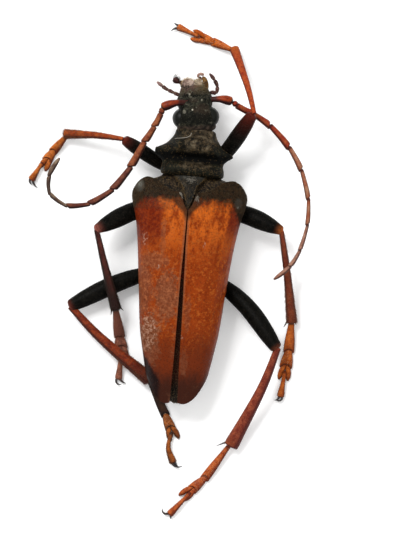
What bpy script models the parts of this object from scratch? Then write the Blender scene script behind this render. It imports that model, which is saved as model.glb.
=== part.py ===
"""Mastododera nodicollis, a longhorn beetle of Madagascar, as a still, life-size model.

All sizes below are in millimetres and become metres where a mesh is made.
+Y runs along the wing cases towards the head, +X is the beetle's right and +Z is up.
The origin is on the floor, under the middle of the hind breast, where the belly rests.
"""
import math

import bmesh
import bpy
from mathutils import Matrix, Vector

MM = 0.001
GAP = 0.3                       # space left between two pieces that meet
UP = Vector((0.0, 0.0, 1.0))

# Wing cases: plan outline, height of the back and of the side edge, all against y
SCUTELLUM_FRONT = 6.55
SCUTELLUM_TIP = 4.6
SCUTELLUM_HALF_WIDTH = 0.62
SHELL = 0.5                     # thickness of a wing case
SCUTELLUM_GAP = 0.3             # from the wing cases to the scutellum, measured across
SEAM = [(-16.0, -0.42), (-12.8, -0.38), (-8.5, -0.31), (-4.2, -0.27), (0.0, -0.15), (4.4, 0.17), (7.6, 0.28)]
ARCH = 0.87                     # below 1 the wing cases' cross-section is fuller than a quarter ellipse
APEX_ROUNDING = 3.1             # how far the outer corner of the apex is cut back
HALF_WIDTH = [(-16.4, 2.6), (-14.8, 2.8), (-13.0, 3.25), (-10.7, 3.72), (-8.5, 4.12), (-4.2, 4.55),
              (0.5, 5.05), (3.0, 5.45), (4.6, 5.85), (5.5, 6.0), (7.6, 6.0)]
BACK_HEIGHT = [(-16.4, 3.7), (-14.5, 4.7), (-11.0, 5.75), (-6.0, 6.8), (0.0, 7.3), (3.5, 7.3),
               (5.5, 6.9), (7.6, 5.9)]
EDGE_HEIGHT = [(-16.4, 2.8), (-12.0, 2.75), (-6.0, 3.0), (0.0, 3.3), (3.8, 3.7), (7.6, 3.5)]
BASE_LINE = [(0.0, 5.95), (0.1, 6.15), (0.2, 6.65), (0.33, 7.25), (0.45, 7.42), (0.6, 7.1),
             (0.8, 6.3), (1.0, 5.6)]
APEX_Y = -16.3

# Middle and hind breast in one box under the wing cases
BREAST_REAR = -2.95
BREAST_FRONT = 7.22

# Abdomen: a cone of overlapping plates under the wing cases
ABDOMEN_FRONT = -3.25
ABDOMEN_REAR = -15.6
PLATES = 5

# Prothorax, in its own frame with y from its rear face forwards
PROTHORAX_AT = Vector((0.09, 7.62, 0.0))
PROTHORAX_TURN = math.radians(-2.2)
PROTHORAX_LENGTH = 4.95
PROTHORAX_HALF_WIDTH = [(0.0, 3.25), (0.6, 3.3), (1.35, 3.15), (2.45, 3.15), (3.45, 2.72), (4.3, 2.2),
                        (4.95, 2.03)]
PROTHORAX_LOW = [(0.0, 2.0), (1.0, 1.75), (3.0, 1.95), (4.95, 2.35)]
PROTHORAX_HIGH = [(0.0, 5.55), (0.7, 6.1), (1.3, 5.95), (1.75, 5.6), (2.3, 6.1), (3.1, 6.35), (3.9, 6.0),
                  (4.5, 5.35), (4.95, 5.3)]
PROTHORAX_MIDDLE = 4.0
SIDE_TUBERCLE = (2.43, 0.95, 0.5, 0.85)         # y, how far it stands out, spread along y and z
BACK_TUBERCLE = (3.0, 1.75, 0.32, 0.55)        # y, x, how far it stands out, spread

# Head, in its own frame with y from the neck forwards
HEAD_AT = Vector((0.25, 13.1, 0.0))
HEAD_TURN = math.radians(7.0)
HEAD_LENGTH = 4.05
HEAD_HALF_WIDTH = [(0.0, 1.82), (0.3, 1.92), (1.0, 1.9), (1.9, 1.8), (2.7, 1.74), (3.3, 1.58), (4.05, 1.28)]
HEAD_LOW = [(0.0, 2.2), (1.1, 1.9), (2.9, 2.0), (4.05, 2.3)]
HEAD_HIGH = [(0.0, 5.15), (0.9, 5.45), (1.9, 5.25), (2.7, 4.85), (3.3, 4.3), (4.05, 4.0)]
HEAD_MIDDLE = 3.6
EYE_AT = Vector((1.55, 0.9, 3.8))
EYE_RADII = Vector((0.9, 0.96, 1.2))

# Antennae: the flagellum's route from the second joint to the tip, and where its joints end along it
FLAGELLUM = {
    "left": [(-3.35, 14.2, 4.75), (-5.05, 11.2, 5.0), (-8.0, 5.8, 4.9), (-12.4, 3.85, 5.4),
             (-14.28, 4.85, 6.0), (-14.72, 6.1, 6.5), (-13.8, 8.7, 7.0)],
    "right": [(4.14, 15.42, 3.75), (7.95, 13.55, 3.55), (11.5, 9.1, 3.7), (12.5, 3.5, 3.8),
              (11.55, 0.1, 3.75), (9.3, -2.4, 3.6)],
}
SCAPE_END = {"left": (-3.35, 14.75, 4.6), "right": (3.82, 15.85, 3.85)}
SCAPE_ROOT = (2.08, 2.6, 3.95)                  # on the head's side, in the head's frame
JOINT_ENDS = (0.03, 0.115, 0.21, 0.335, 0.46, 0.585, 0.705, 0.83, 0.915, 1.0)
JOINT_RADII = (0.29, 0.3, 0.34, 0.36, 0.32, 0.3, 0.28, 0.26, 0.25, 0.24)
WAIST = 0.72                                    # a joint's root over its tip
THINNEST = 0.22                                 # no joint is thinner at its root
JOINT_LEAN = 0.45                               # share of its swelling by which a joint stands to one side
ANTENNA_LENGTHS = {"base": (0, 4), "middle": (4, 7), "tip": (7, 10)}

# Legs: hip, knee, ankle, end of the first and third foot joints, and root of the claws
LEG_JOINTS = {
    "fore_left": [(-1.95, 8.1, 1.5), (-7.25, 11.15, 3.7), (-13.5, 11.35, 0.85),
                  (-14.5, 9.5, 0.3), (-15.5, 7.85, 0.22), (-16.65, 6.3, 0.3)],
    "fore_right": [(1.95, 8.35, 1.5), (6.0, 14.45, 5.2), (3.68, 21.42, 0.85),
                   (1.55, 21.85, 0.3), (-0.5, 22.45, 0.22), (-2.35, 23.27, 0.3)],
    "mid_left": [(-2.4, 5.05, 1.15), (-9.5, 1.6, 4.4), (-6.95, -6.7, 2.3),
                 (-6.45, -9.4, 0.35), (-6.05, -11.4, 0.22), (-6.3, -13.95, 0.3)],
    "mid_right": [(2.4, 4.6, 1.15), (9.75, 2.6, 3.5), (11.45, -7.0, 0.85),
                  (11.3, -9.9, 0.3), (10.93, -12.7, 0.22), (10.7, -14.8, 0.3)],
    "hind_left": [(-2.6, -2.1, 1.0), (-11.8, -6.55, 1.45), (-2.95, -13.8, 1.05),
                  (-1.2, -17.3, 0.3), (-0.15, -19.65, 0.22), (-0.05, -22.35, 0.3)],
    "hind_right": [(2.5, -2.35, 1.0), (9.85, -9.5, 3.4), (5.8, -20.25, 0.85),
                   (3.35, -23.65, 0.3), (1.25, -25.8, 0.22), (-0.2, -27.75, 0.3)],
}
# How far the middle of a thigh, shin or claw joint stands off the straight line
FEMUR_BOW = {"fore_right": (0.15, -0.1, 0.1), "mid_left": (-0.05, 0.28, -0.15), "mid_right": (0.0, 0.38, 0.1),
             "hind_left": (0.0, 0.35, 0.1), "hind_right": (0.5, 0.35, -0.1)}
TIBIA_BOW = {"fore_left": (0.0, 0.15, 0.0), "fore_right": (0.35, -0.1, 0.2), "mid_left": (-0.05, 0.0, 0.1),
             "mid_right": (0.1, 0.0, 0.0), "hind_left": (-0.65, -0.3, 0.25), "hind_right": (0.45, 0.2, 0.1)}
CLAW_JOINT_BOW = {"hind_left": (-0.45, 0.0, 0.2)}
PLAIN_BOW = (0.0, 0.0, 0.1)
# Where a shin leaves the knee, and a foot the end of its shin, off the joint's middle
SHIN_ROOT = {"fore_right": (0.22, 0.1, 0.0)}
FOOT_ROOT = {"fore_left": (-0.05, -0.3, -0.15), "fore_right": (-0.4, 0.0, -0.15),
             "mid_left": (0.0, -0.1, -0.1), "mid_right": (0.0, -0.1, -0.15),
             "hind_left": (0.2, -0.3, -0.2), "hind_right": (-0.4, -0.2, -0.15)}
# Spurs at the end of a shin: side of the shin seen along it, degrees that they splay, length
SPURS = {"mid_left": [(-1, 38, 0.95), (1, 22, 0.85)], "mid_right": [(-1, 30, 0.95), (1, 30, 0.95)],
         "hind_left": [(-1, 20, 0.95)], "hind_right": [(1, 40, 1.4), (-1, 20, 0.8)]}
# Claws of each foot, left one first: degrees off the foot's heading, further turn to the tip, length
CLAWS = {"fore_left": [(43, 60, 0.95), (-5, 125, 0.8)], "fore_right": [(22, 60, 0.8), (5, -15, 0.6)],
         "mid_left": [(34, 60, 0.85), (-36, 165, 1.1)], "mid_right": [(24, -150, 0.95), (9, -100, 0.75)],
         "hind_left": [(21, 35, 0.7), (20, 110, 1.4)], "hind_right": [(40, 0, 0.45), (-15, -150, 1.1)]}
COXA_AT = {"fore": (1.02, 8.75, 1.45), "mid": (1.45, 4.85, 0.9), "hind": (1.75, -1.75, 0.85)}
COXA_RADII = {"fore": (0.8, 0.85, 1.05), "mid": (0.95, 0.8, 0.8), "hind": (1.35, 0.6, 0.7)}
FEMUR_RADIUS = {"fore": 0.84, "mid": 0.97, "hind": 0.95}
FEMUR_SWELL = [(0.0, 0.42), (0.12, 0.64), (0.35, 0.93), (0.62, 1.0), (0.82, 0.88), (0.94, 0.62), (1.0, 0.42)]
TIBIA_RADIUS = {"fore": 0.46, "mid": 0.52, "hind": 0.7}
TIBIA_SWELL = [(0.0, 0.54), (0.06, 0.56), (0.45, 0.68), (0.85, 0.97), (1.0, 1.0)]
FOOT_WIDTH = {"fore": 0.46, "mid": 0.56, "hind": 0.47}
# From the foot's middle line to the tips of the third joint's left and right lobes, which differ as feet roll
LOBE_SPLAY = {"fore_left": (0.47, 0.15), "hind_right": (0.3, 0.5)}
EVEN_SPLAY = (0.47, 0.47)
CLAW_JOINT_SHIFT = {"fore_left": (-0.3, 0.0, 0.0), "hind_right": (0.15, 0.0, 0.0)}

BLACK = (0.012, 0.010, 0.009)
DARK_RED = (0.10, 0.022, 0.010)
RUFOUS = (0.26, 0.055, 0.014)
ORANGE = (0.50, 0.11, 0.012)
ELYTRA_ORANGE = (0.56, 0.13, 0.012)
STRAW = (0.55, 0.40, 0.22)
EYE_BLACK = (0.008, 0.007, 0.006)


def between(keys, at):
    """Value at `at` on the smooth line through (position, value) keys, with no overshoot."""
    places = [key[0] for key in keys]
    values = [key[1] for key in keys]
    if at <= places[0]:
        return values[0]
    if at >= places[-1]:
        return values[-1]
    last = len(keys) - 1
    slopes = [(values[i + 1] - values[i]) / (places[i + 1] - places[i]) for i in range(last)]
    tangents = [slopes[0]]
    for i in range(1, last):
        before, after = slopes[i - 1], slopes[i]
        tangents.append(0.0 if before * after <= 0.0 else 2.0 * before * after / (before + after))
    tangents.append(slopes[-1])
    i = max(k for k in range(last) if places[k] <= at)
    span = places[i + 1] - places[i]
    t = (at - places[i]) / span
    return ((1 + 2 * t) * (1 - t) ** 2 * values[i] + t * (1 - t) ** 2 * span * tangents[i]
            + t * t * (3 - 2 * t) * values[i + 1] + t * t * (t - 1) * span * tangents[i + 1])


def smooth_path(points, steps):
    """Evenly spaced points, steps + 1 of them, on a smooth curve through the given points."""
    points = [Vector(point) for point in points]
    padded = [2 * points[0] - points[1]] + points + [2 * points[-1] - points[-2]]
    fine = []
    for a, b, c, d in zip(padded, padded[1:], padded[2:], padded[3:]):
        for k in range(40):
            t = k / 40
            fine.append(0.5 * (2 * b + (c - a) * t + (2 * a - 5 * b + 4 * c - d) * t ** 2
                               + (3 * b - a - 3 * c + d) * t ** 3))
    fine.append(points[-1])
    run = [0.0]
    for before, after in zip(fine, fine[1:]):
        run.append(run[-1] + (after - before).length)
    result = []
    k = 0
    for step in range(steps + 1):
        target = run[-1] * step / steps
        while k < len(run) - 2 and run[k + 1] < target:
            k += 1
        share = (target - run[k]) / (run[k + 1] - run[k])
        result.append(fine[k].lerp(fine[k + 1], min(1.0, share)))
    return result


def signed_power(value, power):
    return math.copysign(abs(value) ** power, value)


def loft(rings):
    """Closed bmesh through rings of equally many points, with a flat cap at each end."""
    bm = bmesh.new()
    loops = [[bm.verts.new(point * MM) for point in ring] for ring in rings]
    count = len(rings[0])
    for lower, upper in zip(loops, loops[1:]):
        for i in range(count):
            j = (i + 1) % count
            bm.faces.new((lower[i], lower[j], upper[j], upper[i]))
    bm.faces.new(reversed(loops[0]))
    bm.faces.new(loops[-1])
    bmesh.ops.recalc_face_normals(bm, faces=bm.faces)
    return bm


def body_ring(y, half_width, low, middle, high, sides, top_power=2.3, low_power=1.75):
    """Cross-section of the trunk: one rounded arch over another, widest at `middle`."""
    ring = []
    for i in range(sides):
        turn = 2 * math.pi * i / sides
        across, upward = math.cos(turn), math.sin(turn)
        power = top_power if upward >= 0 else low_power
        depth = high - middle if upward >= 0 else middle - low
        ring.append(Vector((half_width * signed_power(across, 2 / power), y,
                            middle + depth * signed_power(upward, 2 / power))))
    return ring


def sweep(points, widths, heights=None, sides=10, up=UP):
    """Closed tube along points, with an oval section of the given half widths and half heights."""
    heights = heights or widths
    rings = []
    for i, point in enumerate(points):
        along = (points[min(i + 1, len(points) - 1)] - points[max(i - 1, 0)]).normalized()
        side = along.cross(up).normalized()
        rise = side.cross(along)
        rings.append([point + side * widths[i] * math.cos(2 * math.pi * k / sides)
                      + rise * heights[i] * math.sin(2 * math.pi * k / sides) for k in range(sides)])
    return loft(rings)


def ellipsoid(centre, radii, grow=0.0, u_segments=14, v_segments=9):
    bm = bmesh.new()
    bmesh.ops.create_uvsphere(bm, u_segments=u_segments, v_segments=v_segments, radius=1.0)
    scale = [(radius + grow) * MM for radius in radii]
    bmesh.ops.scale(bm, vec=scale, verts=bm.verts)
    bmesh.ops.translate(bm, vec=Vector(centre) * MM, verts=bm.verts)
    return bm


def keep_largest(bm):
    """Delete every closed surface but the one that spans the most."""
    islands = []
    left = set(bm.verts)
    while left:
        stack = [left.pop()]
        island = set(stack)
        while stack:
            for edge in stack.pop().link_edges:
                for vert in edge.verts:
                    if vert not in island:
                        island.add(vert)
                        left.discard(vert)
                        stack.append(vert)
        islands.append(island)
    islands.sort(key=len)
    for island in islands[:-1]:
        bmesh.ops.delete(bm, geom=list(island), context="VERTS")


def cut_at_floor(bm):
    """Trim what dips below the floor, which leaves the small flats that the beetle rests on."""
    geometry = list(bm.verts) + list(bm.edges) + list(bm.faces)
    cut = bmesh.ops.bisect_plane(bm, geom=geometry, dist=1e-8, plane_co=(0, 0, 0), plane_no=(0, 0, -1),
                                 clear_outer=True)
    rim = [item for item in cut["geom_cut"] if isinstance(item, bmesh.types.BMEdge)]
    if rim:
        bmesh.ops.holes_fill(bm, edges=rim, sides=0)
        bmesh.ops.recalc_face_normals(bm, faces=bm.faces)


def fresh_collection(name, parent):
    collection = bpy.data.collections.new(name)
    parent.children.link(collection)
    return collection


def material(name, colour, roughness):
    made = bpy.data.materials.new(name)
    made.use_nodes = True
    shader = made.node_tree.nodes["Principled BSDF"]
    shader.inputs["Base Color"].default_value = (*colour, 1.0)
    shader.inputs["Roughness"].default_value = roughness
    shader.inputs["Metallic"].default_value = 0.0
    return made


def mesh_object(name, bm, collection):
    mesh = bpy.data.meshes.new(name)
    bm.to_mesh(mesh)
    bm.free()
    mesh.shade_smooth()
    mesh.set_sharp_from_angle(angle=math.radians(40))
    made = bpy.data.objects.new(name, mesh)
    collection.objects.link(made)
    return made


def joined(name, body, operation, others):
    """The closed bmesh that a Boolean operation makes of body and the objects of a collection."""
    whole = mesh_object(name + "_whole", body, bpy.context.scene.collection)
    boolean = whole.modifiers.new("boolean", "BOOLEAN")
    boolean.operation = operation
    boolean.operand_type = "COLLECTION"
    boolean.collection = others
    bpy.context.view_layer.update()
    result = bpy.data.meshes.new_from_object(whole.evaluated_get(bpy.context.evaluated_depsgraph_get()))
    bm = bmesh.new()
    bm.from_mesh(result)
    bpy.data.objects.remove(whole)
    bpy.data.meshes.remove(result)
    keep_largest(bm)
    return bm


def fused(name, pieces):
    """One closed bmesh from several that overlap."""
    operands = fresh_collection(name + "_operands", bpy.context.scene.collection)
    for number, piece in enumerate(pieces[1:]):
        mesh_object(f"{name}_operand_{number}", piece, operands)
    bm = joined(name, pieces[0], "UNION", operands)
    for operand in list(operands.objects):
        bpy.data.objects.remove(operand)
    bpy.data.collections.remove(operands)
    return bm


def carved(name, body, cutters):
    """The closed bmesh left of body when the cutters are taken away from it."""
    tools = fresh_collection(name + "_cutters", cutter_shapes)
    for number, cutter in enumerate(cutters):
        tool = mesh_object(f"{name}_cutter_{number}", cutter, tools)
        tool.hide_render = True
        tool.display_type = "WIRE"
    return joined(name, body, "DIFFERENCE", tools)


def add_part(name, bm, finish, root=(0, 0, 0), parent=None):
    """Turn a bmesh in beetle coordinates into a part whose origin is its root."""
    root = Vector(root) * MM
    bmesh.ops.translate(bm, vec=-root, verts=bm.verts)
    part = mesh_object(name, bm, beetle)
    part.data.materials.append(finish)
    part.location = root
    part.parent = parent or stand_point
    bpy.context.view_layer.update()
    part.matrix_parent_inverse = part.parent.matrix_world.inverted()
    return part


def placed(bm, at, turn):
    """Move a bmesh from its own frame to its place in the beetle."""
    bmesh.ops.rotate(bm, cent=(0, 0, 0), matrix=Matrix.Rotation(turn, 3, "Z"), verts=bm.verts)
    bmesh.ops.translate(bm, vec=at * MM, verts=bm.verts)
    return bm


def on_head(x, y, z):
    return Matrix.Rotation(HEAD_TURN, 3, "Z") @ Vector((x, y, z)) + HEAD_AT


def scutellum_half_width(y):
    share = (y - SCUTELLUM_TIP) / (SCUTELLUM_FRONT - SCUTELLUM_TIP)
    return SCUTELLUM_HALF_WIDTH * max(0.0, min(1.0, share)) ** 0.8


def seam_x(y):
    return between(SEAM, y)


def elytron(side):
    """One wing case: a grid laid over its half of the back, thickened inwards."""
    across, along = 9, 19
    bm = bmesh.new()
    bmesh.ops.create_grid(bm, x_segments=across, y_segments=along, size=0.5)
    for vert in bm.verts:
        u, v = vert.co.x + 0.5, 0.5 - vert.co.y
        start = between(BASE_LINE, u)
        end = APEX_Y + APEX_ROUNDING * u ** 2.5 + 0.35 * (1 - u) ** 8
        share = v ** 0.93
        y = start + (end - start) * share
        opening = 0.15 + 0.25 * max(0.0, (4.4 - y) / 20.7) ** 2.5
        inner = opening + scutellum_half_width(y) + (SCUTELLUM_GAP if y > SCUTELLUM_TIP else 0.0)
        turn = u * math.pi / 2
        outer = between(HALF_WIDTH, y)
        edge, back = between(EDGE_HEIGHT, y), between(BACK_HEIGHT, y)
        width = outer - side * seam_x(y) - inner
        x = seam_x(y) + side * (inner + width * math.sin(turn) ** ARCH)
        vert.co = Vector((x, y, edge + (back - edge) * math.cos(turn) ** ARCH)) * MM
    bmesh.ops.triangulate(bm, faces=bm.faces)
    if side < 0:
        bmesh.ops.reverse_faces(bm, faces=bm.faces)
    return bm


def trunk(start, end, stations, ring_at, sides=24):
    return loft([ring_at(start + (end - start) * i / stations, sides) for i in range(stations + 1)])


def pterothorax_ring(y, sides):
    inset = SHELL + GAP
    half = between([(BREAST_REAR, between(HALF_WIDTH, BREAST_REAR) - inset),
                    (2.0, between(HALF_WIDTH, 2.0) - inset),
                    (5.2, 5.05), (6.3, 4.75), (6.9, 3.9), (BREAST_FRONT, 3.0)], y)
    high = between(BACK_HEIGHT, y) - inset - between([(6.0, 0.0), (BREAST_FRONT, 0.25)], y)
    low = between([(BREAST_REAR, -0.12), (3.6, -0.12), (5.6, 0.7), (BREAST_FRONT, 2.2)], y)
    middle = between(EDGE_HEIGHT, y)
    return body_ring(y, half, low, middle, high, sides)


def abdomen_ring(y, sides, proud):
    inset = SHELL + GAP
    half = between([(-15.6, 0.7), (-15.2, 1.1), (-13.5, 1.9),
                    (-10.0, between(HALF_WIDTH, -10.0) - inset - 0.15),
                    (-3.2, between(HALF_WIDTH, -3.2) - inset)], y)
    high = between([(-15.6, 3.0), (-15.2, 3.3), (-12.0, between(BACK_HEIGHT, -12.0) - inset - 0.1),
                    (-3.2, between(BACK_HEIGHT, -3.2) - inset)], y)
    low = between([(-15.6, 2.3), (-15.0, 1.9), (-12.5, 0.95), (-8.0, 0.2), (-3.2, 0.05)], y)
    middle = between([(-15.6, 2.65), (-13.0, 2.4), (-3.2, 2.8)], y)
    return body_ring(y, half - 0.1 + proud, low + 0.1 - proud, middle, high, sides)


def abdomen_shape():
    """Five plates along the belly, each with its rear edge standing over the next one."""
    rings = []
    for plate in range(PLATES):
        for share, proud in ((0.0, 0.0), (0.12, 0.04), (0.6, 0.1), (0.97, 0.12)):
            y = ABDOMEN_FRONT + (ABDOMEN_REAR - ABDOMEN_FRONT) * (plate + share) / PLATES
            rings.append(abdomen_ring(y, 20, proud))
    return loft(rings + [abdomen_ring(ABDOMEN_REAR, 20, 0.0)])


def prothorax_ring(y, sides):
    half = between(PROTHORAX_HALF_WIDTH, y)
    ring = body_ring(y, half, between(PROTHORAX_LOW, y), PROTHORAX_MIDDLE, between(PROTHORAX_HIGH, y), sides,
                     2.2, 2.1)
    side_y, side_reach, spread_y, spread_z = SIDE_TUBERCLE
    back_y, back_x, back_reach, spread = BACK_TUBERCLE
    for point in ring:
        height = point.z - PROTHORAX_MIDDLE - 0.1
        bulge = math.exp(-((y - side_y) / spread_y) ** 2 - (height / spread_z) ** 2)
        hump = math.exp(-((y - back_y) / spread) ** 2 - ((abs(point.x) - back_x) / spread) ** 2)
        if abs(point.x) > 0.6 * half:
            point.x += math.copysign(side_reach * bulge, point.x)
        if point.z > PROTHORAX_MIDDLE + 1.0:
            point.z += back_reach * hump
    return ring


def head_ring(y, sides):
    return body_ring(y, between(HEAD_HALF_WIDTH, y), between(HEAD_LOW, y), HEAD_MIDDLE, between(HEAD_HIGH, y),
                     sides, 2.3, 2.1)


def taper(points, radii, steps, sides=8, flat=1.0, grow=0.0):
    """Tube along a smooth path whose radius follows (share of the length, radius) keys."""
    line = smooth_path(points, steps)
    widths = [between(radii, i / steps) + grow for i in range(steps + 1)]
    if grow:
        line[0] = line[0] - (line[1] - line[0]).normalized() * grow
        line[-1] = line[-1] + (line[-1] - line[-2]).normalized() * grow
    return sweep(line, widths, [width * flat for width in widths], sides)


def femur_shape(leg, grow=0.0):
    hip, knee = (Vector(point) for point in LEG_JOINTS[leg][:2])
    radius = FEMUR_RADIUS[leg.split("_")[0]]
    middle = hip.lerp(knee, 0.5) + Vector(FEMUR_BOW.get(leg, PLAIN_BOW))
    swell = [(share, radius * value) for share, value in FEMUR_SWELL]
    return taper([hip, middle, knee], swell, 9, 11, 0.92, grow)


def tibia_line(leg):
    knee, ankle = (Vector(point) for point in LEG_JOINTS[leg][1:3])
    root = knee + Vector(SHIN_ROOT.get(leg, (0, 0, 0)))
    return [root, knee.lerp(ankle, 0.45) + Vector(TIBIA_BOW[leg]), ankle]


def tibia_shape(leg, grow=0.0):
    radius = TIBIA_RADIUS[leg.split("_")[0]]
    swell = [(share, radius * value) for share, value in TIBIA_SWELL]
    return taper(tibia_line(leg), swell, 6, 9, 0.8, grow)


def tibia_with_spurs(leg):
    """Shin that widens to its end, where short spurs stand beside the foot."""
    if leg not in SPURS:
        return tibia_shape(leg)
    _, middle, ankle = tibia_line(leg)
    radius = TIBIA_RADIUS[leg.split("_")[0]]
    along = (ankle - middle).normalized()
    across = along.cross(UP).normalized()
    pieces = [tibia_shape(leg)]
    for side, splay, length in SPURS[leg]:
        root = ankle - along * 0.4 + across * side * radius * 0.7
        heading = Matrix.Rotation(-side * math.radians(splay), 3, "Z") @ along
        tip = root + heading * length
        pieces.append(taper([root, root.lerp(tip, 0.5), tip], [(0, 0.17), (1, 0.05)], 2, 5))
    return fused("tibia_" + leg, pieces)


def claw(root, ahead, off, turn, length):
    """Claw that leaves its root `off` degrees from ahead, hooks `turn` degrees more and dips to its tip."""
    steps = 4
    points = [root]
    for step in range(steps):
        heading = math.radians(off + turn * (step + 0.5) / steps)
        stride = Matrix.Rotation(heading, 3, "Z") @ ahead * (length / steps)
        points.append(points[-1] + Vector((stride.x, stride.y, -0.05)))
    return taper(points, [(0, 0.18), (0.6, 0.12), (1, 0.05)], steps + 1, 5)


def foot(leg):
    """Foot: two wedges, a two-lobed third joint, a slender claw joint and two hooked claws."""
    ankle, first_end, third_end, claw_root = (Vector(point) for point in LEG_JOINTS[leg][2:])
    width = FOOT_WIDTH[leg.split("_")[0]]
    second_end = first_end.lerp(third_end, 0.58)
    start = ankle + Vector(FOOT_ROOT[leg])
    pieces = [taper([start, start.lerp(first_end, 0.5), first_end],
                    [(0, 0.25), (0.3, width * 0.62), (0.85, width), (1, width * 0.8)], 4, 8, 0.62)]
    ahead = (third_end - first_end).normalized()
    root = first_end - ahead * 0.3
    pieces.append(taper([root, root.lerp(second_end, 0.5), second_end],
                        [(0, 0.24), (0.8, width * 1.1), (1, width * 0.9)], 3, 8, 0.52))
    across = ahead.cross(UP).normalized()
    for side, splay in zip((-1, 1), LOBE_SPLAY.get(leg, EVEN_SPLAY)):
        lobe_root = second_end - ahead * 0.35 + across * side * 0.08
        lobe_tip = third_end + ahead * 0.3 + across * side * splay
        pieces.append(taper([lobe_root, lobe_root.lerp(lobe_tip, 0.5) + across * side * 0.08, lobe_tip],
                            [(0, 0.2), (0.6, 0.32), (1, 0.22)], 3, 7, 0.75))
    root = second_end.lerp(third_end, 0.4) + Vector(CLAW_JOINT_SHIFT.get(leg, (0, 0, 0))) + UP * 0.15
    bow = Vector(CLAW_JOINT_BOW.get(leg, (0.0, 0.0, 0.2)))
    pieces.append(taper([root, root.lerp(claw_root, 0.5) + bow, claw_root],
                        [(0, 0.2), (0.5, 0.25), (0.95, 0.33), (1, 0.26)], 4, 7, 0.85))
    ahead = (claw_root - third_end).normalized()
    ahead = Vector((ahead.x, ahead.y, 0)).normalized()
    for side, (off, turn, length) in zip((-1, 1), CLAWS[leg]):
        root = claw_root - ahead * 0.12 + ahead.cross(UP) * side * 0.15
        pieces.append(claw(root, ahead, off, turn, length))
    return fused("tarsus_" + leg, pieces)


def coxa_shape(leg, grow=0.0):
    pair, side = leg.split("_")
    sign = -1 if side == "left" else 1
    x, y, z = COXA_AT[pair]
    return ellipsoid((sign * x, y, z), COXA_RADII[pair], grow, 10, 6)


def trochanter_line(leg):
    pair, side = leg.split("_")
    sign = -1 if side == "left" else 1
    x, y, z = COXA_AT[pair]
    return [Vector((sign * x, y, z)), Vector(LEG_JOINTS[leg][0])]


def coxa_with_trochanter(leg, grow=0.0):
    """Hip ball with the small ring that carries the thigh."""
    start, hip = trochanter_line(leg)
    out = (Vector(LEG_JOINTS[leg][1]) - hip).normalized()
    end = hip - out * GAP
    ring = taper([start, start.lerp(end, 0.6), end], [(0, 0.35), (0.6, 0.42), (1, 0.34)], 4, 8, 1.0, grow)
    return coxa_shape(leg, grow), ring


def antenna_piece(first, last, line, ends):
    """Run of antennal joints, each narrow at its root and widest, a little to one side, at its tip."""
    total = len(line) - 1
    stations = []
    for joint in range(first, last):
        start = ends[joint - 1] if joint else 0.0
        end = ends[joint]
        tip_radius = JOINT_RADII[joint]
        root_radius = max(THINNEST, tip_radius * WAIST)
        if joint == len(ends) - 1:
            profile = [(0.03, root_radius), (0.5, tip_radius), (0.8, tip_radius * 0.8), (1.0, 0.08)]
        else:
            profile = [(0.03, root_radius), (0.55, tip_radius * 0.86), (0.9, tip_radius),
                       (0.97, tip_radius * 0.9)]
        stations += [(start + (end - start) * share, radius) for share, radius in profile]
    points = []
    for share, _ in stations:
        place = share * total
        k = min(int(place), total - 1)
        points.append(line[k].lerp(line[k + 1], place - k))
    if first:
        points[0] = points[0] + (points[1] - points[0]).normalized() * GAP * 0.6
    if last < len(ends):
        points[-1] = points[-1] - (points[-1] - points[-2]).normalized() * GAP * 0.8
    radii = [radius for _, radius in stations]
    narrow = min(radii)
    for i in range(1, len(points) - 1):
        along = (points[i + 1] - points[i - 1]).normalized()
        points[i] = points[i] + along.cross(UP).normalized() * (radii[i] - narrow) * JOINT_LEAN
    return sweep(points, radii, None, 9)


for old in list(bpy.data.objects):
    bpy.data.objects.remove(old)

beetle = fresh_collection("mastododera_nodicollis", bpy.context.scene.collection)
cutter_shapes = fresh_collection("cutters", bpy.context.scene.collection)
stand_point = bpy.data.objects.new("beetle_origin", None)
beetle.objects.link(stand_point)

chitin_black = material("chitin_black", BLACK, 0.5)
chitin_dark_red = material("chitin_dark_red", DARK_RED, 0.4)
chitin_rufous = material("chitin_rufous", RUFOUS, 0.4)
chitin_orange = material("chitin_orange", ORANGE, 0.4)
wing_case = material("wing_case", ELYTRA_ORANGE, 0.35)
lip_straw = material("lip_straw", STRAW, 0.6)
eye_gloss = material("eye_gloss", EYE_BLACK, 0.2)

# Trunk
channels = [femur_shape(leg, GAP) for leg in LEG_JOINTS if not leg.startswith("fore")]
for leg in LEG_JOINTS:
    if not leg.startswith("fore"):
        channels += list(coxa_with_trochanter(leg, GAP))
breast = carved("pterothorax", trunk(BREAST_REAR, BREAST_FRONT, 13, pterothorax_ring), channels)
cut_at_floor(breast)
pterothorax = add_part("pterothorax", breast, chitin_black)

channels = [femur_shape(leg, GAP) for leg in ("hind_left", "hind_right")]
belly = carved("abdomen", abdomen_shape(), channels)
cut_at_floor(belly)
add_part("abdomen", belly, chitin_black, (0, ABDOMEN_FRONT, 2.8), pterothorax)

collar = placed(trunk(0.0, PROTHORAX_LENGTH, 17, prothorax_ring), PROTHORAX_AT, PROTHORAX_TURN)
channels = [femur_shape(leg, GAP) for leg in ("fore_left", "fore_right")]
for leg in ("fore_left", "fore_right"):
    channels += list(coxa_with_trochanter(leg, GAP))
collar = carved("prothorax", collar, channels)
prothorax = add_part("prothorax", collar, chitin_black, PROTHORAX_AT, pterothorax)

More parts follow.
